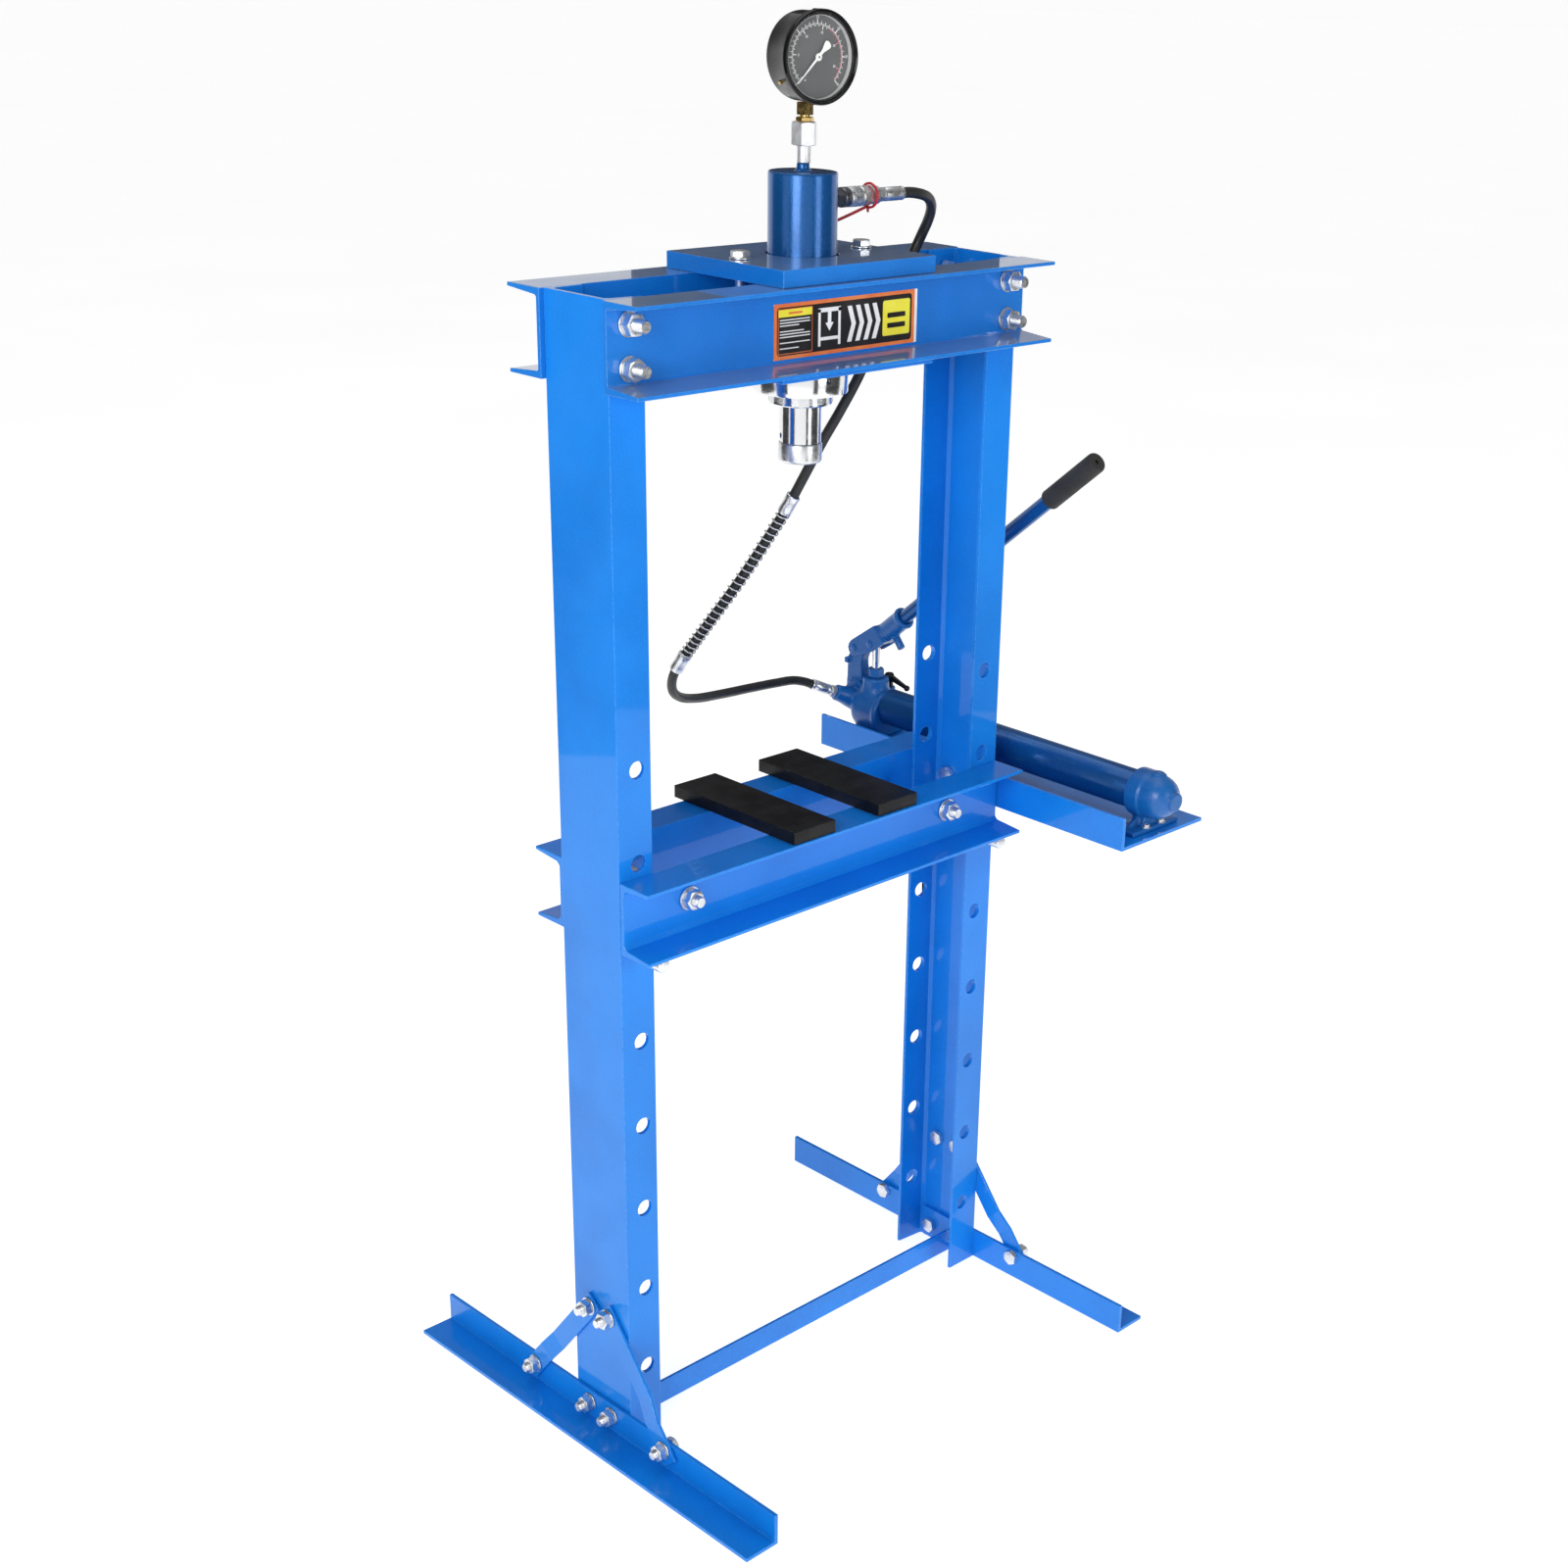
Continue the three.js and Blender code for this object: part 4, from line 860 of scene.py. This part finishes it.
def make_gauge():
    def shape():
        return Shape(GAUGE_PLACE)

    forward = (0, -1, 0)
    middle = (0, 0, 0)
    case = shape().solid([(38, -12.5), (42.6, -11.6), (44.6, -9.4), (45, -7), (45, 19.4), (45.5, 20.2),
            (46.9, 20.7), (47.4, 22), (47.4, 26.6), (46.8, 27.9), (45.6, 28.5), (44.9, 28.4),
            (44.1, 27.6), (43.8, 26.4), (43.8, 24), (41.5, 23.9), (41.5, 17)], middle, forward, 96)
    case.solid([(3.4, 43.5), (3.4, 46.2), (2.9, 47), (1.6, 47.2), (1.6, 46.6)], (0, -15, 0), Z, 28)
    piece(case, "gauge_case_moulded", "frame", CASE, "black_case", ["gauge_case"])
    piece(shape().lathe([(41.42, 17.4), (41.42, 23.8), (41.05, 23.8), (41.05, 17.4), (41.42, 17.4)],
            middle, forward, 96), "gauge_inner_wall", "frame", RECESS, "needle_white")
    screw = shape()
    a = radians(215)
    way = Vector((cos(a), 0, sin(a)))
    screw.solid([(2.3, 44), (2.3, 45.6), (1.7, 46.1), (0.6, 46.1), (0.6, 45.5)], (0, -4, 0), way, 24)
    piece(screw, "gauge_case_screw", "frame", BRASS, "brass")

    face = shape().solid([(41.0, 17.3), (41.0, DIAL_FACE - 0.2), (40.8, DIAL_FACE)], middle, forward, 96)
    piece(face, "gauge_dial_plate", "frame", DIAL, "dial", ["gauge_dial"])

    white, pink = shape(), shape()
    start = -FULL_SWEEP / 2
    for i in range(31):
        major = i % 5 == 0
        tick(white, start + i * OUTER_STEP / 5, 32.9, 37.0 if major else 35.3, 0.85 if major else 0.5)
    arc(white, start, -start, 32.6, 32.95)
    fraction = INNER_STEP / 5
    for i in range(28):
        at = start + i * fraction
        if at > -start:
            break
        major = i % 5 == 0
        tick(pink if at > 30 else white, at, 27.4 if major else 29.8, 31.6, 0.8 if major else 0.5)
    arc(white, start, 30, 31.5, 31.8)
    arc(pink, 30, -start, 31.4, 32.0)
    for i in range(7):
        number(white.bm, str(5 * i), start + i * OUTER_STEP, 38.9, 3.7)
    for i in range(1, 6):
        number(white.bm, str(5 * i), start + i * INNER_STEP, 24.4, 3.6)
    white.solid([(0.7, 0), (0.7, 0.12)], dial_axes(-146)[0] * 27.5 + Vector((0, -DIAL_FACE, 0)), forward,
                16)
    piece(white, "gauge_dial_marks", "frame", WHITE, "needle_white")
    piece(pink, "gauge_dial_limit_marks", "frame", PINK, "red_strap")

    lens = shape().lathe([(0, 24.2), (43.3, 24.2), (43.4, 24.6), (43.4, 25.5), (43.0, 25.8), (0, 26.2)],
            middle, forward, 96)
    piece(lens, "gauge_lens_disc", "frame", GLASS, "glass", ["gauge_lens"])

    turned = GAUGE_PLACE @ Matrix.Rotation(radians(-135), 4, "Y")
    needle = Shape(turned)
    level = (0, -20.6, 0)
    needle.slab([(-1.35, 2), (1.35, 2), (0.35, 36.5), (0, 37.3), (-0.35, 36.5)], 0.7, level, X, Z,
                forward)
    needle.slab([(-1.5, -2), (-1.7, -8), (-4.4, -16.2), (-4.2, -18.4), (-2.6, -19.6), (0, -20.1),
                 (2.6, -19.6), (4.2, -18.4), (4.4, -16.2), (1.7, -8), (1.5, -2)], 0.7, level, X, Z,
                forward)
    needle.solid([(3.6, 20.4), (3.9, 20.8), (3.9, 21.9), (3.4, 22.3)], middle, forward, 40)
    piece(needle, "gauge_needle_blade", "needle", WHITE, "needle_white", ["gauge_needle"], bevel=0.12)
    hub = Shape(turned).solid([(1.1, 22.2), (1.1, 22.7), (0.7, 22.9)], middle, forward, 24)
    piece(hub, "gauge_needle_hub", "needle", DARK_STEEL, "zinc")

    adapter = Shape().solid([(6.6, 1448.3), (7.3, 1449), (7.3, 1466.5)], (8, 0, 0), Z, 48)
    adapter.hexagon(12.1, 7, 24, (8, 0, 1466), Z, 0.35, open_end=False)
    piece(adapter, "gauge_adapter_nut", "frame", BRIGHT, "chrome", ["gauge_adapter"])
    stem = Shape().hexagon(8.6, 5, 4.4, (9, 0, 1490.3), Z, 0.2, open_end=False)
    stem.solid([(6.4, 1494), (5.6, 1495.3), (5.6, 1496.6), (6.6, 1497)], (9, 0, 0), Z, 40)
    stem.block((2.8, -6.2, 1496.6), (15.2, 6.2, 1509.6))
    piece(stem, "gauge_stem_brass", "frame", BRASS, "brass", ["gauge_stem"], bevel=0.5, bevel_angle=50)


make_gauge()


# ---- coupler and its dust cap
def make_coupler():
    s = Shape().solid([(9.4, 44.8), (9.4, 47), (8.2, 47.6), (8.2, 50)], COUPLER_AT, X, 40)
    s.hexagon(9.5, 6, 12, (50, 0, COUPLER_Z), X, 0.5, open_end=False)
    s.solid([(8.6, 61), (10.4, 62), (10.8, 63), (10.8, 69.4), (10.2, 70.4), (8.4, 71), (7, 71.6),
             (7, 74.7)], COUPLER_AT, X, 48)
    piece(s, "coupler_nipple_turned", "frame", DARK_STEEL, "zinc", ["coupler_nipple"])

    def knurl(angle, along):
        return 1 + (0.018 * cos(36 * angle) if 76 < along < 88.5 else 0)

    outline = [(7.4, 72.2), (10.2, 72.2), (10.8, 72.8), (10.8, 75), (10.5, 75.8)]
    outline += [(10.75, 76.5 + 2 * i) for i in range(7)]
    outline += [(10.4, 89.4), (10.4, 90.2), (10.9, 91), (10.9, 92.3), (10.4, 92.9), (7.4, 92.9),
                (7.4, 72.2)]
    collar = Shape().lathe(outline, COUPLER_AT, X, 216, wobble=knurl)
    piece(collar, "coupler_collar_knurled", "collar", ZINC, "zinc", ["coupler_collar"], smooth=50)

    cap_z = 1367.6
    line, _ = smooth_line([(107, 4, COUPLER_Z - 12.3), (92, 12, COUPLER_Z - 20), (76, 24, COUPLER_Z - 29),
                           (60, 38, COUPLER_Z - 38), (44, 49, cap_z + 1), (36, 50, cap_z)], 2.5)
    strap = Shape()
    strap.along(line, 1.65, 10)
    ring = [Vector((107, 0, COUPLER_Z)) + Vector((0, cos(a), sin(a))) * 12.7
            for a in (2 * pi * i / 48 for i in range(48))]
    strap.along(ring, 1.45, 10, closed=True)
    eye_at = Vector((107.5, 2.5, COUPLER_Z - 15.2))
    eye = [eye_at + Vector((0.5 * cos(a), 0.9 * cos(a), sin(a))) * 2.4
           for a in (2 * pi * i / 24 for i in range(24))]
    strap.along(eye, 0.95, 8, closed=True)
    strap.lathe([(9.5, 0), (11.4, 0), (12, 0.6), (12, 14.6), (11.2, 15.8), (3, 16), (0, 16), (0, 13),
                 (9.5, 13), (9.5, 0)], (22, 51, cap_z), X, 40)
    piece(strap, "dust_cap_and_strap", "frame", RED, "red_strap", ["dust_cap_strap"])


make_coupler()


# ---- label
def rounded(x0, z0, x1, z1, radius, steps=5):
    points = []
    x0, z0, x1, z1 = x0 + radius, z0 + radius, x1 - radius, z1 - radius
    for cx, cz, start in ((x1, z1, 0), (x0, z1, 90), (x0, z0, 180), (x1, z0, 270)):
        for i in range(steps + 1):
            a = radians(start + 90 * i / steps)
            points.append((cx + radius * cos(a), cz + radius * sin(a)))
    return points


def make_label():
    """A plain printed plate on the front beam: colour blocks, ruled lines and a press pictogram."""
    face = -(HALF_DEPTH + GAP + WEB)
    s = Shape()
    paper, orange, black, yellow = range(4)

    def patch(material, outline, lift):
        s.material = material
        s.slab(outline, lift, (0, face - 0.02, 0), X, Z, (0, -1, 0))

    patch(paper, rounded(-85, 1257, 129.5, 1315, 0.8), 0.2)
    patch(orange, rounded(-85, 1257, 125.5, 1315, 1.5), 0.3)
    patch(black, rounded(-80.5, 1261, 121, 1311, 4), 0.36)
    patch(orange, rounded(-79, 1262.5, -29.5, 1309.5, 0.8), 0.40)
    patch(black, rounded(-78.2, 1263.3, -30.3, 1308.7, 0.6), 0.44)
    patch(yellow, rounded(-78.2, 1301, -30.3, 1308.7, 0.6), 0.48)
    patch(orange, rounded(-64, 1303.6, -44, 1305.9, 0.8), 0.52)
    for i in range(11):
        if i in (3, 7, 9):
            continue
        z = 1298 - i * 2.95
        patch(paper, rounded(-76.5, z - 0.55, -33 - random.choice((0, 0, 0, 9, 16)), z + 0.55, 0.3, 2),
              0.48)
    patch(yellow, rounded(76, 1268, 118, 1306, 2.5), 0.44)
    for z in (1276, 1287):
        patch(black, rounded(83, z, 111, z + 5.5, 1.2), 0.48)

    # The press as a pictogram, with four chevrons beside it.
    def bar(x0, z0, x1, z1):
        patch(paper, [(x0, z0), (x1, z0), (x1, z1), (x0, z1)], 0.44)

    bar(-21, 1266, -17.5, 1305)
    bar(8.5, 1266, 12, 1305)
    bar(-21, 1301.5, 12, 1306)
    bar(-17.5, 1272, 8.5, 1275.5)
    bar(-7, 1290, -2, 1301.5)
    patch(paper, [(-10.5, 1290.2), (-4.5, 1281.5), (1.5, 1290.2)], 0.46)
    for i in range(4):
        x = 22 + i * 12.5
        chevron = [(0, 1267), (6.5, 1267), (13, 1286), (6.5, 1305), (0, 1305), (6.5, 1286)]
        patch(paper, [(x + across, z) for across, z in chevron], 0.44)
    piece(s, "front_label", "frame", [WHITE, ORANGE, LABEL_BLACK, YELLOW], "needle_white")


make_label()


# ---- pump
PUMP_X = 380.0
SHELF = 665.8
TANK_Z = 709
PISTON_AT = (PUMP_X, 242, 0)
VALVE_AT = (402, 238, 0)


def make_pump():
    tank = Shape().solid([(23.6, -217), (24.3, -216), (24.3, 211.8), (23.6, 212.5)], (PUMP_X, 0, TANK_Z),
            Y, 72)
    piece(tank, "reservoir_tube", "frame", PUMP_PAINT, "pump_enamel", ["pump_reservoir"])

    cap = Shape().solid([(29.8, 0.4), (30.5, 1.6), (30.5, 18.6), (29.9, 19.8), (28.6, 20.4), (28.3, 24),
            (28, 30), (27.2, 36), (25.6, 41), (22.6, 46.6), (18.6, 51), (14.8, 53.9), (12.3, 55.2),
            (12.1, 56), (12, 59.2), (11.4, 60)], (PUMP_X, -217.3, TANK_Z), (0, -1, 0), 72)
    cap.block((PUMP_X - 44, -248.6, SHELF), (PUMP_X + 44, -214.4, SHELF + 6))
    cap.slab([(-15, 10), (15, 10), (12, -26), (17, -37), (27, -40), (-27, -40), (-17, -37), (-12, -26)],
             19, (PUMP_X, -221, TANK_Z), X, Z, (0, -1, 0))
    for side in (-1, 1):
        cap.slab([(0, 0), (31, 0), (4, 13), (0, 16)], 5, (PUMP_X + side * 10, -230 + 2.5, SHELF + 4),
                 (side, 0, 0), Z, (0, -1, 0))
    plug_base = Vector((PUMP_X + 2, -244.5, 728))
    tilt_up = Vector((0.05, -0.1, 1)).normalized()
    cap.solid([(10.5, 0), (10, 9.6), (9, 10.6)], plug_base, tilt_up, 36)
    cuts = Shape()
    foot_screw = (394.5, -244.0)
    plug_top = plug_base + tilt_up * 10.8
    cuts.solid([(7.2, -1.6), (7.2, 3)], plug_top, tilt_up, 36)
    casting(cap, "end_cap_casting", "frame", CASTING, ["pump_end_cap"], cutters=cuts)
    plug = Shape().solid([(6.9, -1.6), (6.9, 0.4), (6.4, 0.9)], plug_top, tilt_up, 40)
    made = plug.to_object("filler_plug", CASTING)
    across = tilt_up.cross(Vector((0.6, 0.8, 0))).normalized()
    for side in (-1, 1):
        at = plug_top + across * 3.6 * side
        cut_from(made, Shape().solid([(1.35, 0.0), (1.35, 2)], at, tilt_up, 20))
    rigged(made, "frame")
    screws = Shape()
    for x, y in (foot_screw, (2 * PUMP_X - foot_screw[0], foot_screw[1])):
        at = (x, y, SHELF + 5.8)
        screws.solid([(2.1, 1.6), (2.1, 4.3), (4.0, 4.3), (4.4, 3.8), (4.4, 0)], at, Z, 32)
        washer(screws, 6.2, 1.2, 3, (x, y, SHELF + 5.4), Z)
    piece(screws, "end_cap_foot_screws", "frame", ZINC, "zinc")

    head = Shape().solid([(29.6, 213), (31, 214), (31.5, 215.6), (31.5, 218.8), (30.6, 220.8), (30, 223),
            (30, 255), (28.6, 260), (25, 263.4), (21, 264)], (PUMP_X, 0, 699.5), Y, 72)
    head.lathe([(0, 0), (24, 0), (22, 24), (19.4, 29), (18.2, 34), (18, 40), (18, 43.6), (16.8, 45.6),
                (0, 46)], (PUMP_X, 242, 699), Z, 56)
    head.slab([(262, 702), (291, 702), (290.6, 730), (289, 762), (284.6, 776), (282.4, 784), (277, 790.4),
               (270, 792), (262.6, 789), (258.8, 781), (260.4, 772), (263.6, 764), (262, 744)], 15,
              (PUMP_X - 7.5, 0, 0), Y, Z, X)
    head.slab([(255, 700), (291, 700), (290, 720), (281, 734), (266, 738), (255, 728)], 25,
              (PUMP_X - 12.5, 0, 0), Y, Z, X)
    head.block((PUMP_X - 13, 284, 756), (PUMP_X + 13, 290.5, 764))
    head.solid([(17, -38), (14.6, -24), (12.2, -14), (11.3, -8), (11, -2), (9.8, -0.3)], PORT_TIP,
               PORT_WAY, 48)
    head.solid([(9.6, 0), (8.8, 22), (8.5, 28), (7.6, 29)], (402, 238, 699), Z, 40)
    head.block((PUMP_X - 36, 220.4, SHELF), (PUMP_X + 36, 261.6, SHELF + 8))
    head.block((PUMP_X - 22, 224, SHELF + 4), (PUMP_X + 22, 258, SHELF + 26))
    cuts = Shape()
    cuts.solid([(5.95, 676), (5.95, 770)], PISTON_AT, Z, 32)
    cuts.solid([(5.9, 719), (5.9, 770)], VALVE_AT, Z, 32)
    casting(head, "pump_head_casting", "frame", CASTING, ["pump_head"], cutters=cuts)
    gland = Shape().hexagon(9.6, 6.0, 11.4, (PUMP_X, 242, 757), (0, 0, -1), 0.2)
    piece(gland, "pump_gland_nut", "frame", CASTING, "pump_enamel")
    rod = Shape().solid([(5.0, 706), (5.5, 706.6), (5.5, 786.2), (4.8, 787)], PISTON_AT, Z, 48)
    piece(rod, "piston_rod", "piston", CHROME_TURNED, "chrome", ["pump_piston"])

    valve = Shape().lathe([(0, 719.5), (5.5, 719.5), (5.5, 740), (6.6, 742), (6.6, 744.6), (5, 746.4),
            (0, 746.5)], VALVE_AT, Z, 40)
    root, tip = Vector((402, 238, 742)), Vector((403, 203, 731.4))
    reach = [root.lerp(tip, t) for t in (0, 0.2, 0.4, 0.6, 0.8, 0.94)]
    valve.along(reach, lambda t: 4.6 - 1.9 * t, 20)
    valve.lathe([(0, -4.2), (2.6, -3.4), (4.0, -1.4), (4.2, 0), (4.0, 1.4), (2.6, 3.4), (0, 4.2)],
                (402.95, 205.4, 731.9), (0, 1, 0.3), 24)
    casting(valve, "release_lever", "valve", CASE, ["release_valve"], voxel=0.6, rounds=6)


make_pump()


# ---- pump handle
TILT = radians(40)
HANDLE_PLACE = Matrix((
    (0, 0, -1, PUMP_X),
    (-cos(TILT), sin(TILT), 0, 270),
    (sin(TILT), cos(TILT), 0, 772.5),
    (0, 0, 0, 1),
))
ALONG = (1, 0, 0)
HERE = (0, 0, 0)
SCREW_AT = (72, 0, 0)
SCREW_WAY = (0, -1, 0)


def make_handle():
    yoke = Shape(HANDLE_PLACE)
    outline = [(-4.6, 2.6), (-5.6, 8), (-3.4, 13.6), (1.5, 17), (8, 18.2), (58, 13.6), (59.5, 12),
               (59.5, -13), (56, -14.5), (44, -14), (28, -12), (2, -3), (-2.4, -0.8)]
    for near in (10.8, -16):
        yoke.slab(outline, 5.2, (0, 0, near), ALONG, Y, Z)
    yoke.slab([(24, 10.6), (24, 15.8), (60, 12.8), (60, 8)], 22, (0, 0, -11), ALONG, Y, Z)
    yoke.block((50, -13, -15.8), (60, 13, 15.8))
    yoke.solid([(12.6, 54), (13.7, 60), (13.7, 97), (14.8, 98.6), (15.2, 100), (15.2, 102), (14.4, 103)],
               HERE, ALONG, 56)
    yoke.solid([(6.4, 0), (6.2, 14), (5.4, 14.9)], SCREW_AT, SCREW_WAY, 32)
    cuts = Shape(HANDLE_PLACE)
    cuts.solid([(9.95, 58.5), (9.95, 101.6), (11.2, 104)], HERE, ALONG, 56)
    cuts.solid([(4.5, 8), (4.5, 17)], SCREW_AT, SCREW_WAY, 32)
    casting(yoke, "yoke_casting", "pump_lever", CASTING, ["pump_yoke"], voxel=0.9,
            rounds=4, cutters=cuts)
    pins = Shape(HANDLE_PLACE)
    for x, y in ((6.1, 7.3), (36.8, -2.8)):
        pins.solid([(3.4, -18), (4.8, -17.2), (5, -16.2), (5, 16.2), (4.8, 17.2), (3.4, 18)], (x, y, 0),
                   (0, 0, 1), 40)
    piece(pins, "yoke_pins", "pump_lever", CASTING, "pump_enamel")

    tube = Shape(HANDLE_PLACE).lathe([(7.5, 60), (9.5, 60), (9.5, 504.6), (7.5, 504.6), (7.5, 60)], HERE,
            ALONG, 56)
    piece(tube, "handle_bar", "handle", PUMP_PAINT, "pump_enamel", ["handle_tube"])
    grip = Shape(HANDLE_PLACE).lathe([(9.8, 417.4), (11.8, 417.1), (12.7, 417.6), (13, 418.8),
            (13, 506.6), (12.7, 508.8), (11.8, 510.4), (10.2, 511), (4.4, 511), (3.3, 510.4), (3, 509),
            (3, 505.6), (9.8, 505.6), (9.8, 417.4)], HERE, ALONG, 64)
    piece(grip, "handle_grip_sleeve", "handle", GRIP, "rubber", ["handle_grip"])
    peg = Shape(HANDLE_PLACE).solid([(3.4, 9.9), (3.9, 10.6), (3.9, 14.4), (5.0, 14.6), (5.2, 15.4),
            (5.2, 30), (4.6, 31.2), (3.6, 31.7)], SCREW_AT, SCREW_WAY, 36)
    piece(peg, "handle_thumb_screw", "thumb_screw", CASTING, "pump_enamel", ["handle_screw"])


make_handle()


# ---- studio
def make_studio():
    floor = Shape().block((-120000, -120000, -30), (120000, 120000, -0.4)).to_object("floor", [])
    s = Shade("floor_paper")
    tone = s.mix(s.spread(s.noise(0.8, 3.0), 0.35, 0.65), (0.60, 0.60, 0.60), (0.64, 0.64, 0.64))
    floor.data.materials.append(s.finish(Base_Color=tone, Roughness=0.8, Specular_IOR_Level=0.1,
                                         Emission_Color=(1.0, 1.0, 1.0, 1), Emission_Strength=0.78))

    # The sky is as bright as the floor where they meet and darker above, so that glossy paint
    # reflects a soft gradient.
    world = bpy.data.worlds.new("studio")
    world.use_nodes = True
    nodes, links = world.node_tree.nodes, world.node_tree.links
    where = nodes.new("ShaderNodeTexCoord")
    split = nodes.new("ShaderNodeSeparateXYZ")
    links.new(where.outputs["Generated"], split.inputs[0])
    ramp = nodes.new("ShaderNodeMapRange")
    ramp.inputs[1].default_value, ramp.inputs[2].default_value = 0.06, 0.34
    ramp.inputs[3].default_value, ramp.inputs[4].default_value = 0.97, 0.26
    links.new(split.outputs[2], ramp.inputs[0])
    links.new(ramp.outputs[0], nodes["Background"].inputs[1])
    nodes["Background"].inputs[0].default_value = (1.0, 1.0, 1.0, 1)
    bpy.context.scene.world = world

    def lamp(name, at, target, size, power, size_y=None):
        data = bpy.data.lights.new(name, "AREA")
        data.energy, data.size = power, size
        if size_y:
            data.shape, data.size_y = "RECTANGLE", size_y
        made = added(name, data)
        made.location = at
        made.rotation_euler = (Vector(target) - Vector(at)).to_track_quat("-Z", "Y").to_euler()

    lamp("key", (-3.4, -1.6, 2.3), (0, 0, 0.9), 1.8, 72)
    lamp("front", (0.9, -3.4, 1.5), (0, 0, 0.8), 1.8, 30)
    lamp("top", (0.2, 0.4, 4.6), (0, 0, 0.9), 3.4, 44)

    # Dark flags that only reflections see: they give the chrome its bands and keep the paint deep.
    velvet = plain("flag_velvet", (0.02, 0.02, 0.02), (0.03, 0.03, 0.03), (0.8, 0.9))
    flags = ((136, 2600, 1150), (188, 2200, 250), (264, 2400, 250), (312, 2600, 1150), (46, 3200, 450))
    for i, (azimuth, distance, half) in enumerate(flags):
        out = level_way(azimuth)
        flag = Shape().slab([(-half, 0), (half, 0), (half, 3300), (-half, 3300)], 20, out * distance,
                Z.cross(out), Z, out).to_object(f"flag_{i}", velvet)
        flag.visible_camera = flag.visible_diffuse = flag.visible_shadow = False
    bpy.context.scene.view_settings.view_transform = "Standard"


make_studio()


# ---- a box's corners as lists
def corners(box):
    return [list(v) for v in box]
